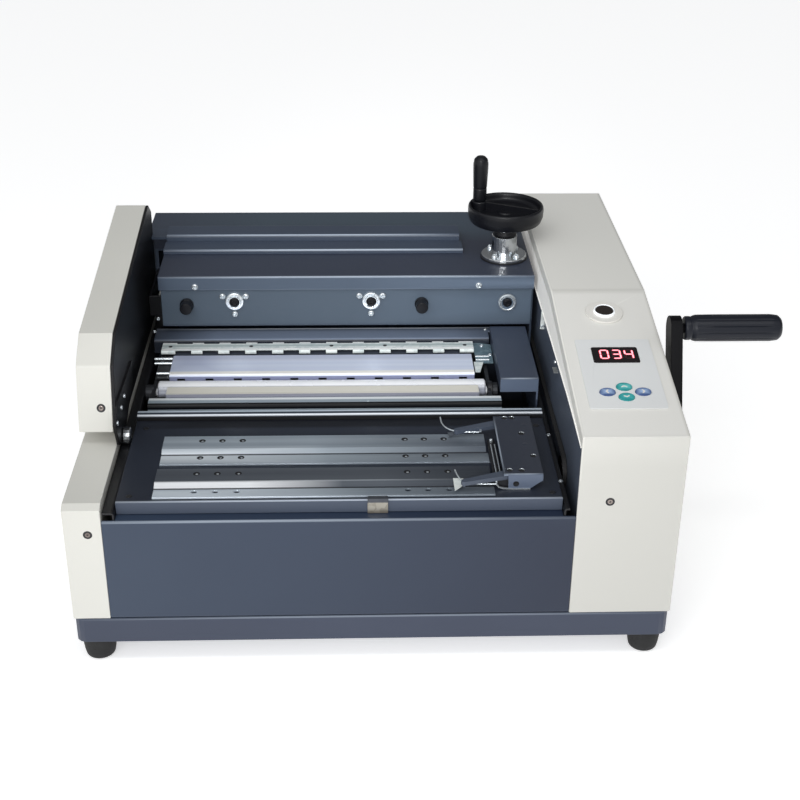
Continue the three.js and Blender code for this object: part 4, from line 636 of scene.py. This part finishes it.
# The ear is a lighter copy of the bridge's coat, as painted light on its front face.
ear_coat = painted("ear_coat", (92, 103, 122), (86, 97, 116))
slabs("bridge_ear", [(432.4, 200.6), (466.8, 200.6), (467, 194.4), (454.7, 185), (441, 184.6), (433, 185)],
      0, 0.9, "register", (ear_coat, "blue_paint"), FRONT, (0, 31.05, 0))
slabs("bridge_ear_shade", [(422, 186), (433.6, 185.2), (433, 198.6), (421.2, 197.6)], 0, 0.8, "register",
      black, FRONT, (0, 34, 0))
carried("bridge_lip", [(420.4, 30.2, 196), (421.9, 30.2, 184.9), (454.6, 30.2, 184.9)],
        [(-0.7, -0.7), (0.7, -0.7), (0.7, 0.7), (-0.7, 0.7)], "register", zinc, (0, 1, 0), rounds=2)
for bar_side, bar_x in (("outer", 426.9), ("inner", 422.9)):
    carried(f"bridge_bar_{bar_side}", [(bar_x, 44, 190.6), (bar_x - 0.5, 108, 190.6)], round_bar(0.75),
            "register", zinc)
slabs("bridge_channel", [(419.6, 42), (427.9, 42), (427.9, 120.5), (419.6, 120.5)], 187.4, 188.8,
      "register", black)
stop_pin = [(0, 5.2), (1.4, 5), (2, 4.2), (2, 0), (0, 0)]
studs("bridge_stop_pins", stop_pin, [(423.6, 47, 187), (423.6, 117.5, 187)], UP, "register", zinc, radius=0.3)
# Each bolt is a dark seat, painted shade in its recess, with a zinc arc on its rim as a painted glint.
bolt_seat = [(0, 0.08), (2.3, 0.08), (2.6, 0.3), (3.1, 0.26), (3.3, 0), (3.3, -0.4), (0, -0.4)]
bolt_places = [(439.7, 146.4, 201), (447.4, 146.4, 201), (454.1, 112.8, 201), (461.2, 66.7, 201),
               (434.4, 39.1, 201), (446.4, 38.5, 201)]
studs("bridge_bolt_seats", bolt_seat, bolt_places, UP, "register", shaded_hole)
studs("bridge_plugs", [(0, 0.15), (2.7, 0.15), (2.9, 0.08), (2.9, -0.6), (0, -0.6)],
      [(458.4, 131, 201), (455.3, 90.5, 201)], UP, "register", (bridge_coat, "blue_paint"))
# The zinc arcs are the painted glints on the bolts' rims.
for bolt_mark, (bolt_x, bolt_y, bolt_z) in enumerate(bolt_places):
    bolt_arc = arc_at(bolt_x, bolt_y, bolt_z + 0.3, 2.5, np.linspace(np.radians(150), np.radians(-20), 12))
    carried(f"bridge_bolt_glint_{bolt_mark + 1}", bolt_arc, round_bar(0.42, 8), "register", zinc, rounds=0)
# The ear's bore is a dark disc, painted shade in the hole.
studs("ear_bore", [(0, 0.1), (2.2, 0.1), (2.5, 0.26), (3, 0.2), (3.1, -0.3), (0, -0.3)], (440.4, 30.15, 190.4),
      FRONT, "register", shaded_hole)


# Glue unit. Cast trough, chromed roller, aluminium doctor plate with a slotted lip, zinc comb and angle.
# The roller is a ground drum on two journals; rods tie the trough at the left, small angles at the right.
# Patches with a reach of 400 along X run the full length and don't fade at the ends.
cast_aluminium = finish("cast_aluminium", coat, 0.3, (60, 62, 66), (44, 46, 50), 0.38, 0.6, 900, Metallic=0.6)
# The doctor plate's pale aluminium is painted near white, partly as painted reflection; its lip gets a painted
# highlight, darker bluish bands and a spot of painted reflection lie on it, and painted shade falls under the
# comb.
satin_sheet = finish("satin_sheet", streak, 0.08, (230, 238, 254), (212, 222, 244), 0.3, 0.46, 500, patches=[
    ((247, 254.8, 194), (400, 1.2, 3.6), (96, 98, 140), 0.8, 0.75),
    ((247, 258.6, 200), (400, 4.6, 1.6), (255, 253, 248), 0.5, 0.95),
    ((247, 298, 194), (400, 12, 16), (176, 180, 204), 0.2, 0.6),
    ((247, 316.2, 192), (400, 12.6, 18), (50, 56, 68), 0.95, 0.95),
    ((100, 288, 196), (34, 30, 16), (150, 160, 196), 0.1, 0.5)], Metallic=0.15)
# The front plate's front flange is painted grey as painted shade, and its top paler as painted light.
pale_sheet = finish("pale_sheet", streak, 0.1, (226, 225, 216), (196, 194, 184), 0.36, 0.55, 400, patches=[
    ((247, 210.3, 190.5), (400, 1.8, 7.6), (104, 107, 122), 0.9, 0.95),
    ((247, 221, 198), (400, 8, 1.6), (246, 243, 232), 0.7, 0.7)], Metallic=0.15)
# The roller's chrome is painted near white with little metal, as painted reflection, with a dark band of
# painted reflection low on its front.
drum_chrome = finish("drum_chrome", bright_skin, 0.02, (250, 252, 255), (240, 243, 250), 0.2, 0.3, patches=[
    ((243, 229, 185), (400, 5, 14), (90, 96, 116), 0.5, 0.8)], Metallic=0.12)
# The comb gets white painted highlights along both edges and a darker band of painted shade between them.
comb_zinc = finish("comb_zinc", zinc_skin, 0.1, (236, 243, 241), (208, 219, 219), 0.28, 0.5, patches=[
    ((241, 328, 200.2), (400, 3.4, 1.2), (168, 184, 186), 0.5, 0.7),
    ((241, 318.6, 200.2), (400, 2.4, 1.2), (255, 255, 255), 0.4, 0.9),
    ((241, 335.4, 200.2), (400, 1.6, 1.2), (255, 255, 255), 0.4, 0.9)], Metallic=0.12)
# The angle's rounded front corner is painted near black as painted shade, and its top gets a painted highlight.
angle_zinc = finish("angle_zinc", streak, 0.12, (178, 191, 200), (146, 160, 171), 0.24, 0.46, 300, patches=[
    ((251, 195.4, 191.7), (400, 3, 4), (8, 10, 14), 0.85, 1),
    ((251, 207.5, 194), (400, 3.6, 1.5), (246, 251, 252), 0.4, 0.9)], Metallic=0.2, Specular_IOR_Level=0.3)
# The rear wall's top is painted lighter as painted light, with a painted highlight line along it.
rear_coat = painted("rear_coat", (34, 40, 52), (30, 36, 47), patches=[
    ((267, 340.4, 203), (230, 2.2, 1.6), (40, 46, 58), 0.3, 0.8),
    ((260, 352, 203), (230, 20, 1.6), (110, 122, 142), 0.6, 0.95),
    ((260, 367, 203), (230, 1.6, 1.6), (226, 234, 244), 0.4, 0.9)])
# The end box's front face is painted lighter as painted light, with a painted highlight along its top fold.
box_coat = painted("box_coat", (62, 71, 88), (57, 66, 83), 0.34, [
    ((464, 220.6, 209.6), (24, 1.6, 1.6), highlight_tint, 0.3, 0.6),
    ((464, 220, 196), (24, 2, 13), (96, 109, 130), 0.9, 1)])
dress(cast_aluminium, 0.0004, "glue_tank")
dress(satin_sheet, 0.0003, "doctor_plate")
dress(pale_sheet, 0.0003, "front_plate")
dress(angle_zinc, 0.0003, "front_angle")
dress(comb_zinc, 0.0003, "comb_guard")
dress(rear_coat, 0.0004, "rear_wall")
dress(box_coat, 0.0006, "end_box")
drum_y, drum_z = 240.3, 185
roller_profile = [(0, 59.2), (5, 59.2), (5, 66), (11.5, 66), (13, 67.5), (13, 426.5), (11.5, 428), (5, 428),
                  (5, 441), (0, 441)]
drum = turned("glue_drum_skin", roller_profile, (0, drum_y, drum_z), "x", "glue_drum",
              (drum_chrome, "chrome"), 0.4)
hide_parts("glue_roller")
for rod, (rod_start, rod_end, rod_y) in enumerate([
        (55.1, 75.5, 301.5), (56.5, 75.8, 290), (61.7, 75.8, 264.7)]):
    carried(f"trough_rod_{rod + 1}", [(rod_start, rod_y, 196.4), (rod_end, rod_y, 196.4)], round_bar(1.8, 20),
            "housing", zinc)
slabs("trough_end_strip", [(60.5, 256), (75.6, 256), (75.6, 312), (60.5, 312)], 193.2, 194.4, "housing", black)
for rod, rod_y in enumerate((300.2, 291.5)):
    carried(f"trough_end_rod_{rod + 1}", [(421.6, rod_y, 197.6), (437, rod_y, 197.6)], round_bar(1.5, 20),
            "housing", zinc)
dull_zinc = finish("dull_zinc", zinc_skin, 0.12, (128, 152, 162), (96, 120, 132), 0.26, 0.46, Metallic=0.35)
slabs("end_angle_flat", [
    (422, 287.2), (441.5, 287.2), (442.6, 334), (424.2, 341.2), (403.4, 341.6), (402.4, 331), (418, 330),
    (422, 322)], 195.2, 196.4, "housing", (dull_zinc, "zinc_steel"))
slabs("end_angle_leaf", [(418.9, 262), (424.6, 262), (430, 286.4), (419, 286.4)], 196.6, 197.8, "housing",
      (comb_zinc, "zinc_steel"))
slabs("end_angle_wall", [(401.2, 184), (419.8, 184), (421.2, 201.4), (402.6, 201.4)], 0, 1.2, "housing",
      (comb_zinc, "zinc_steel"), FRONT, (0, 343.4, 0))
glints("end_angle_screws", 2.5, 1.5, [(431.6, 330.6, 196.4), (439.2, 306.4, 196.4), (410.5, 336.4, 196.4)],
       "housing", 0.9)
studs("journal_collar", [(5.6, 0), (9.8, 0), (10.6, 0.8), (10.6, 5.2), (9.8, 6), (5.6, 6), (5.6, 0)],
      (430.4, drum_y, drum_z), RIGHT, "housing", black, radius=0.3)
studs("comb_screws", [(0, 0.5), (1.2, 0.45), (2.3, 0.1), (2.3, -0.4), (0, -0.4)],
      [(comb_x, 326.4, 200) for comb_x in (70.4, 163.5, 256.4, 318.4, 411.5)], UP, "housing", black,
      cross=0.3)
glints("rear_wall_screws", 2.3, 1.4, [(48.3, 361, 203), (438.4, 361.9, 203)], "housing", 0.8)


# Clamp. A welded frame under a folded top plate, with two jaws that rise through the slot.
# The guide rods end in black sockets within screwed flanged bushes, and two black buffers stand on the front.
def fold_highlight(x, y, z, half_x, amount, half_y=1.5):
    """A painted highlight along a fold: its middle, its half length along X and the strength of the line."""
    return (x, y, z), (half_x, half_y, 1.5), highlight_tint, 0.3, amount


clamp_tones = (62, 73, 90), (58, 68, 85)
# The top plate's front face is painted lighter as painted light, more at the right; its rear top has a painted
# sheen and its folds get painted highlights.
top_coat = painted("top_coat", (54, 61, 77), (50, 57, 73), patches=[
    ((275, 354.7, 266), (230, 1.6, 9), (76, 89, 106), 0.9, 1),
    ((275, 540, 275), (270, 80, 3), (64, 78, 90), 0.4, 0.9),
    ((480, 354.7, 266), (200, 1.6, 9), (100, 115, 134), 0.1, 0.9),
    fold_highlight(275, 355.6, 274.4, 226, 0.85), fold_highlight(43.5, 485.6, 274.4, 14.5, 0.7),
    fold_highlight(275, 354.6, 258.6, 226, 0.12, half_y=1.2)])
# The frame's front is painted lighter as painted light, more at the right, and its left end by the arm is
# painted near black as painted shade.
frame_coat = painted("frame_coat", *clamp_tones, patches=[
    ((280, 352, 236), (260, 18, 24), (76, 89, 103), 0.85, 1),
    ((480, 352, 236), (200, 18, 24), (92, 107, 124), 0.1, 0.9),
    ((36, 412, 225), (20.5, 73, 60), (20, 21, 26), 0.96, 1)])
# Each jaw gets a painted highlight along its front fold.
rear_jaw_coat = painted("rear_jaw_coat", *clamp_tones, patches=[fold_highlight(225, 453, 288.4, 190, 0.9)])
front_jaw_coat = painted("front_jaw_coat", *clamp_tones, patches=[fold_highlight(265, 424.2, 280.4, 215, 0.9)])
dress(frame_coat, 0.0004, "carriage_body")
dress(rear_jaw_coat, 0.0005, "rear_jaw")
dress(front_jaw_coat, 0.0005, "front_jaw")
dress(top_coat, 0.0012, "housing_top", segments=3)
dress(black_coat, 0.0002, "guide_rod_left", "guide_rod_right", "lead_screw")
moulded = finish("moulded_black", coat, 0.2, (17, 18, 23), (14, 15, 20), 0.28, 0.42, 1100,
                 Specular_IOR_Level=0.3), "black_plastic"
rods_x, rods_z, lead_x, lead_z = (144.2, 303.1), 244, 462.26, 241.6
bush_ring = [(6.7, 1), (6.9, 3.3), (7.5, 3.7), (10, 3.7), (10.8, 3), (11, 0.1), (11, -0.4), (6.7, -0.4),
             (6.7, 1)]
studs("bush_rings", bush_ring, [(x, 357, rods_z) for x in rods_x], FRONT, "clamp", zinc, radius=0.3)
socket_outline = [(0, 0.6), (2.4, 0.6), (2.6, 1.6), (3, 1.9), (4.8, 1.7), (5.7, 0.6), (5.7, -1), (0, -1)]
studs("rod_sockets", socket_outline, [(x, 353.2, rods_z) for x in rods_x], FRONT, "clamp", moulded, steps=24)
clip_turn = np.linspace(np.radians(-60), np.radians(225), 40)
for clip_name, clip_x, clip_z, clip_radius, clip_y, clip_half in (
        ("left_rod_clip", rods_x[0], rods_z, 6.6, 352.9, 0.5),
        ("right_rod_clip", rods_x[1], rods_z, 6.6, 352.9, 0.5),
        ("lead_screw_clip", lead_x, lead_z, 7.6, 353.3, 1)):
    clip_path = arc_at(clip_x, clip_z, clip_y, clip_radius, clip_turn)[:, [0, 2, 1]]
    carried(clip_name, clip_path, [(-0.6, -clip_half), (0.6, -clip_half), (0.6, clip_half), (-0.6, clip_half)],
            "clamp", zinc, (0, 1, 0), rounds=0)
lead_ring = [(8.2, 0), (8.4, 1.2), (9, 1.5), (10, 1.3), (10.6, 0.6), (10.8, -0.2), (8.2, -0.2), (8.2, 0)]
studs("lead_screw_ring", lead_ring, (lead_x, 353.8, lead_z), FRONT, "clamp", zinc, steps=48)
lead_end = [(0, 0.4), (1.8, 0.4), (2.1, 1.2), (2.6, 1.5), (4.2, 1.3), (5.2, 0.4), (5.2, -0.8), (0, -0.8)]
studs("lead_screw_end", lead_end, (lead_x, 352.6, lead_z), FRONT, "screw", moulded, steps=24)
buffer_outline = [(0, 15.5), (6.6, 15.4), (7, 14.6), (7.1, 5), (8, 4.2), (8, 0.1), (6.9, -0.3), (0, -0.3)]
studs("clamp_buffers", buffer_outline, [(88.7, 357, 239.8), (361.9, 357, 239.8)], FRONT, "clamp", moulded,
      radius=0.35, steps=40)
glints("lip_screws", 4, 2.6, [(99.3, 354.7, 262.6), (428.1, 354.7, 263)], "clamp", 1.4, FRONT)
glints("bush_screws", 3.9, 2.9, [
    (130.4, 356.2, 250.2), (157.4, 356.2, 250.1), (144, 356.2, 227.9),
    (289.3, 356.2, 250.2), (316.4, 356.2, 250.1), (302.9, 356.2, 227.9)], "clamp", 1.7, FRONT)
glints("frame_end_screw", 2.2, 1.4, (54.2, 357, 221.7), "clamp", 0.8, FRONT)


# Arm. The ivory arm cover at the left end hides a black plate that carries the front roller.
# Small cross-slotted screws hold the plate's leaf; the chromed rollers and shafts inside are dressed here too.
# A band of the plate from X 48.4 to 50.4 mm is painted darker still, as painted shade.
plate_black = finish("plate_black", coat, 0.15, (21, 21, 24), (16, 16, 19), 0.34, 0.48, 1400, patches=[
    ((49.4, 250, 222), (1, 200, 16), (5, 5, 7), 0.9, 1)], Specular_IOR_Level=0.3)
dress(ivory_coat, 0.0012, "arm_cover", segments=3)
dress(plate_black, 0.0004, "arm_plate")
dress(chrome, 0.0002, "arm_roller", "left_rear_roller", "right_front_roller", "right_rear_roller",
      "idler_pulley", "crank_shaft", "wheel_shaft")
dress(black_rubber, 0, "drive_belt")
glints("arm_plate_screws", 2.6, 1.6, [(40.6, 166.8, 219.7), (40.6, 144.2, 218), (40.6, 114.5, 216)],
       "clamp", 1, RIGHT)


# Handwheel. A dished bowl with one rib across, moulded in black, with a turned handle on its rim.
# Its chromed bearing stands with its flange on a dark gasket and is held by four pan head screws.
wheel_x, wheel_y = 462.262, 413
handle_place = (432.354, 426.946, 0)
wheel_profile = [
    (7.3, 304.3), (14.2, 304.3), (14.2, 306), (13, 311), (13.4, 317.6), (34, 318), (41.6, 321.6), (44, 328),
    (44.5, 336), (44, 339.6), (42.8, 341), (41.4, 340.6), (40.2, 338.6), (39.4, 333.6), (36, 331.6), (9.6, 331),
    (8.8, 332.8), (0, 333.2), (0, 331.3), (7.3, 331.3), (7.3, 304.3)]
rim = turned("handwheel_moulding", wheel_profile, (wheel_x, wheel_y, 0), "z", "wheel", moulded, 1.6, steps=96)
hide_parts("handwheel")
rib_turn, rib_reach = np.radians(155), np.array([-40, -37, -20, 0, 20, 37, 40])
rib_path = np.stack([wheel_x + rib_reach * np.cos(rib_turn), wheel_y + rib_reach * np.sin(rib_turn),
                     333.0 + 0.0 * rib_reach], -1)
rib_profile = [(-7.6, -3), (7.6, -3), (6.8, 2), (6, 3.3), (4.6, 4), (-4.6, 4), (-6, 3.3), (-6.8, 2)]
carried("handwheel_rib", rib_path, [(-b, a) for a, b in rib_profile][::-1], "wheel", moulded, rounds=1)
handle_seat = [(0, 341.2), (8.4, 341.2), (9.2, 340.2), (9.8, 331), (0, 331)]
studs("handle_seat", handle_seat, handle_place, UP, "wheel", moulded, radius=0.4, steps=40)
dress(chrome, 0.0002, "wheel_bearing")
gasket = [(20, 0), (27.8, 0), (27.8, 1.6), (27, 2.2), (20, 2.2), (20, 0)]
studs("flange_gasket", gasket, (wheel_x, wheel_y, 275.05), UP, "clamp", black, steps=72)
flange_places = arc_at(wheel_x, wheel_y, 280.3, 20.6, np.radians([-128, -50, 43, 137]))
glints("flange_screws", 3.6, 4.2, flange_places, "clamp", 1.8)
handle_profile = [
    (3.3, 341.4), (7.2, 341.4), (7.9, 343.2), (8, 356), (7.5, 357), (8.1, 358.2), (8.9, 381), (8.9, 386.5),
    (8, 391.6), (4.8, 395), (0, 395.2), (0, 391.3), (3.3, 391.3), (3.3, 341.4)]
knob = turned("wheel_handle_moulding", handle_profile, handle_place, "z", "wheel_grip", moulded, 0.9)
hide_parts("wheel_handle")


# Crank. A black steel arm on the shaft's end and a revolving ribbed grip, moulded over a sleeve.
# Twelve grooves run along the grip, each 0.9 mm times max(0, cos 12 t)^6 deep and shallower towards its ends.
crank_coat = finish("crank_coat", coat, 0.15, (9, 9, 13), (7, 7, 10), 0.38, 0.52, 1400,
                    Specular_IOR_Level=0.15)
dress(crank_coat, 0.0012, "crank_arm", segments=3)
grip_moulding = finish("grip_moulding", coat, 0.2, (26, 29, 38), (22, 25, 34), 0.3, 0.44, 1100,
                       Specular_IOR_Level=0.3)
grip_outline = rounded_profile([
    (5.3, 621.5), (11.6, 621.5), (12.4, 623), (12.4, 627), (11.8, 628.5), (12.8, 630), (13.8, 633), (14, 651),
    (14, 700), (14, 711), (13, 718.5), (9.8, 722), (0, 722), (0, 712.3), (5.3, 712.3), (5.3, 621.5)], 1.2)
grip_y, grip_z, sleeve_radius = 155, 300, 9
groove_depth, groove_start, groove_end, groove_rise, groove_fall = 0.9, 633, 714, 4, 6
grip_radius, grip_x = grip_outline[:, :1], grip_outline[:, 1:]
grip_t = full_turn(240)
groove_in, groove_out = (grip_x - groove_start) / groove_rise, (groove_end - grip_x) / groove_fall
groove_share = np.clip(groove_in, 0, 1) * np.clip(groove_out, 0, 1) * (grip_radius > sleeve_radius)
grip_r = grip_radius - groove_depth * groove_share * np.maximum(0, np.cos(12.0 * grip_t)) ** 6
grip_points = machine(grip_x + 0.0 * grip_t, grip_y + grip_r * np.cos(grip_t), grip_z + grip_r * np.sin(grip_t))
grip = mesh_piece("crank_grip_moulding", grip_points, grid_faces(*grip_r.shape), "crank_handle",
                  (grip_moulding, "black_plastic"), 40)
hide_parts("crank_grip")


# Controls. A printed membrane, a dark display window, four keys and a round switch on the sloping face.
# Three figures of seven bars stand in the window; each key has a pale arrow; a bright ring frames the switch.
# Places on the face are (u, s): u to the right of face_start, s up the slope from it.
slope = np.radians(9.06)
face_start, face_way = np.array([548.5, 0, 259]), np.array([0, -np.sin(slope), np.cos(slope)])
display_s, switch_s = 134, 212
film = finish("printed_film", coat, 0.05, (229, 231, 231), (224, 226, 226), 0.32, 0.4, 2200)
dark_window = finish("dark_window", coat, 0.02, (20, 12, 16), (17, 10, 13), 0.12, 0.2, 600)
# Each key is painted lighter in its middle.
teal = finish("teal_key", coat, 0.05, (38, 150, 152), (33, 142, 144), 0.3, 0.4, 1500, patches=[
    ((549.5, 76.7, 273.2), (8, 5, 5), (130, 226, 224), 0.1, 0.8),
    ((549, 60.5, 270.7), (8.5, 5, 5), (96, 206, 206), 0.1, 0.6)])
blue = finish("blue_key", coat, 0.05, (62, 88, 140), (57, 82, 133), 0.3, 0.4, 1500, patches=[
    ((530.8, 68.9, 272), (8, 5.4, 5), (176, 202, 238), 0.15, 0.9),
    ((566.2, 68.9, 272), (8, 5.4, 5), (176, 202, 238), 0.15, 0.9)])
white_moulding = finish("white_moulding", coat, 0.05, (232, 230, 224), (226, 224, 218), 0.25, 0.35, 1500)
button_dark = finish("button_dark", bright_skin, 0.02, (74, 66, 62), (54, 48, 46), 0.2, 0.32, Metallic=0.6)
dress(film, 0.0001, "control_label")
dress(dark_window, 0.0003, "display_window")
dress(teal, 0.0003, "key_up", "key_down")
dress(blue, 0.0003, "key_left", "key_right")
dress(white_moulding, 0.0004, "switch_ring")
dress(button_dark, 0.0006, "switch_button")
lit_bar = finish("lit_bar", coat, 0, (255, 150, 165), (250, 140, 155), 0.3, 0.4, 1500,
                 Emission_Color=(1, 0.5, 0.56, 1), Emission_Strength=1.2)
lit_glow = finish("lit_glow", coat, 0, (190, 30, 52), (180, 26, 46), 0.3, 0.4, 1500,
                  Emission_Color=(0.75, 0.03, 0.07, 1), Emission_Strength=0.8)
dim_bar = finish("dim_bar", coat, 0, (58, 24, 32), (52, 22, 29), 0.3, 0.4, 1500)
# A bar is a hexagon, long and thick its halves; a lit one has a bright core of 0.9 and 0.6 of its sizes.
long, thick = 3.3, 1.2
flat_bar = np.array([(-long - 0.6, 0), (-long + 0.3, -thick), (long - 0.3, -thick), (long + 0.6, 0),
                     (long - 0.3, thick), (-long + 0.3, thick)])
tall_bar = np.array([(0, -long - 0.4), (thick, -long + 0.5), (thick, long - 0.5), (0, long + 0.4),
                     (-thick, long - 0.5), (-thick, -long + 0.5)])
# A figure says 1 for each lit bar: the flat ones from the top down, then the upper and the lower pair.
bars_of_figure = [(flat_bar, (0, 7.1)), (flat_bar, (0, 0)), (flat_bar, (0, -7.1)), (tall_bar, (-3.85, 3.55)),
                  (tall_bar, (3.85, 3.55)), (tall_bar, (-3.85, -3.55)), (tall_bar, (3.85, -3.55))]
lit, dim = [], []
for figure_u, figure in ((-11.45, "1011111"), (1.1, "1110101"), (13.8, "0101101")):
    for (bar, bar_place), bar_state in zip(bars_of_figure, figure):
        (lit if bar_state == "1" else dim).append(bar + bar_place + (figure_u, display_s))
lit = np.array(lit)
lit_middle = lit.mean(1, keepdims=True)
lit_long = np.where(np.ptp(lit, axis=1, keepdims=True) > 4.0, 0.9, 0.6)
lit_core = lit_middle + (lit - lit_middle) * lit_long
slabs("lit_glow_bars", lit, 1.5, 1.68, "housing", (lit_glow, "membrane"), face_way, face_start)
slabs("lit_bars", lit_core, 1.6, 1.76, "housing", (lit_bar, "membrane"), face_way, face_start)
slabs("dim_bars", dim, 1.5, 1.66, "housing", (dim_bar, "black_plastic"), face_way, face_start)
arrow = np.array([(-2.9, -1.5), (0, 0.1), (2.9, -1.5), (2.9, 0.2), (0, 2), (-2.9, 0.2)])
for key_name, key_u, key_s, key_turn in (("up", 0, 77.7, 0), ("down", 0, 61.9, np.pi),
                                         ("left", -17.7, 69.8, np.pi / 2), ("right", 17.7, 69.8, -np.pi / 2)):
    key_spin = np.array([[np.cos(key_turn), np.sin(key_turn)], [-np.sin(key_turn), np.cos(key_turn)]])
    arrow_halves = np.stack([arrow[[0, 1, 4, 5]], arrow[[1, 2, 3, 4]]]) @ key_spin + (key_u, key_s)
    slabs(f"key_{key_name}_arrow", arrow_halves, 2.2, 2.42, f"{key_name}_key",
          (white_moulding, "white_plastic"), face_way, face_start)
lit_ring = finish("lit_ring", coat, 0, (246, 248, 250), (240, 243, 246), 0.2, 0.3, 1500,
                  Emission_Color=(0.9, 0.96, 1, 1), Emission_Strength=0.3)
ring_place = face_start + switch_s * np.array([0, np.cos(slope), np.sin(slope)])
bezel = [(9.7, 2), (9.9, 4.3), (10.3, 4.8), (10.9, 4.5), (11.4, 3.2), (11.5, 2), (9.7, 2)]
studs("switch_bezel", bezel, ring_place, face_way, "housing", (lit_ring, "white_plastic"), steps=64, sharp=50)
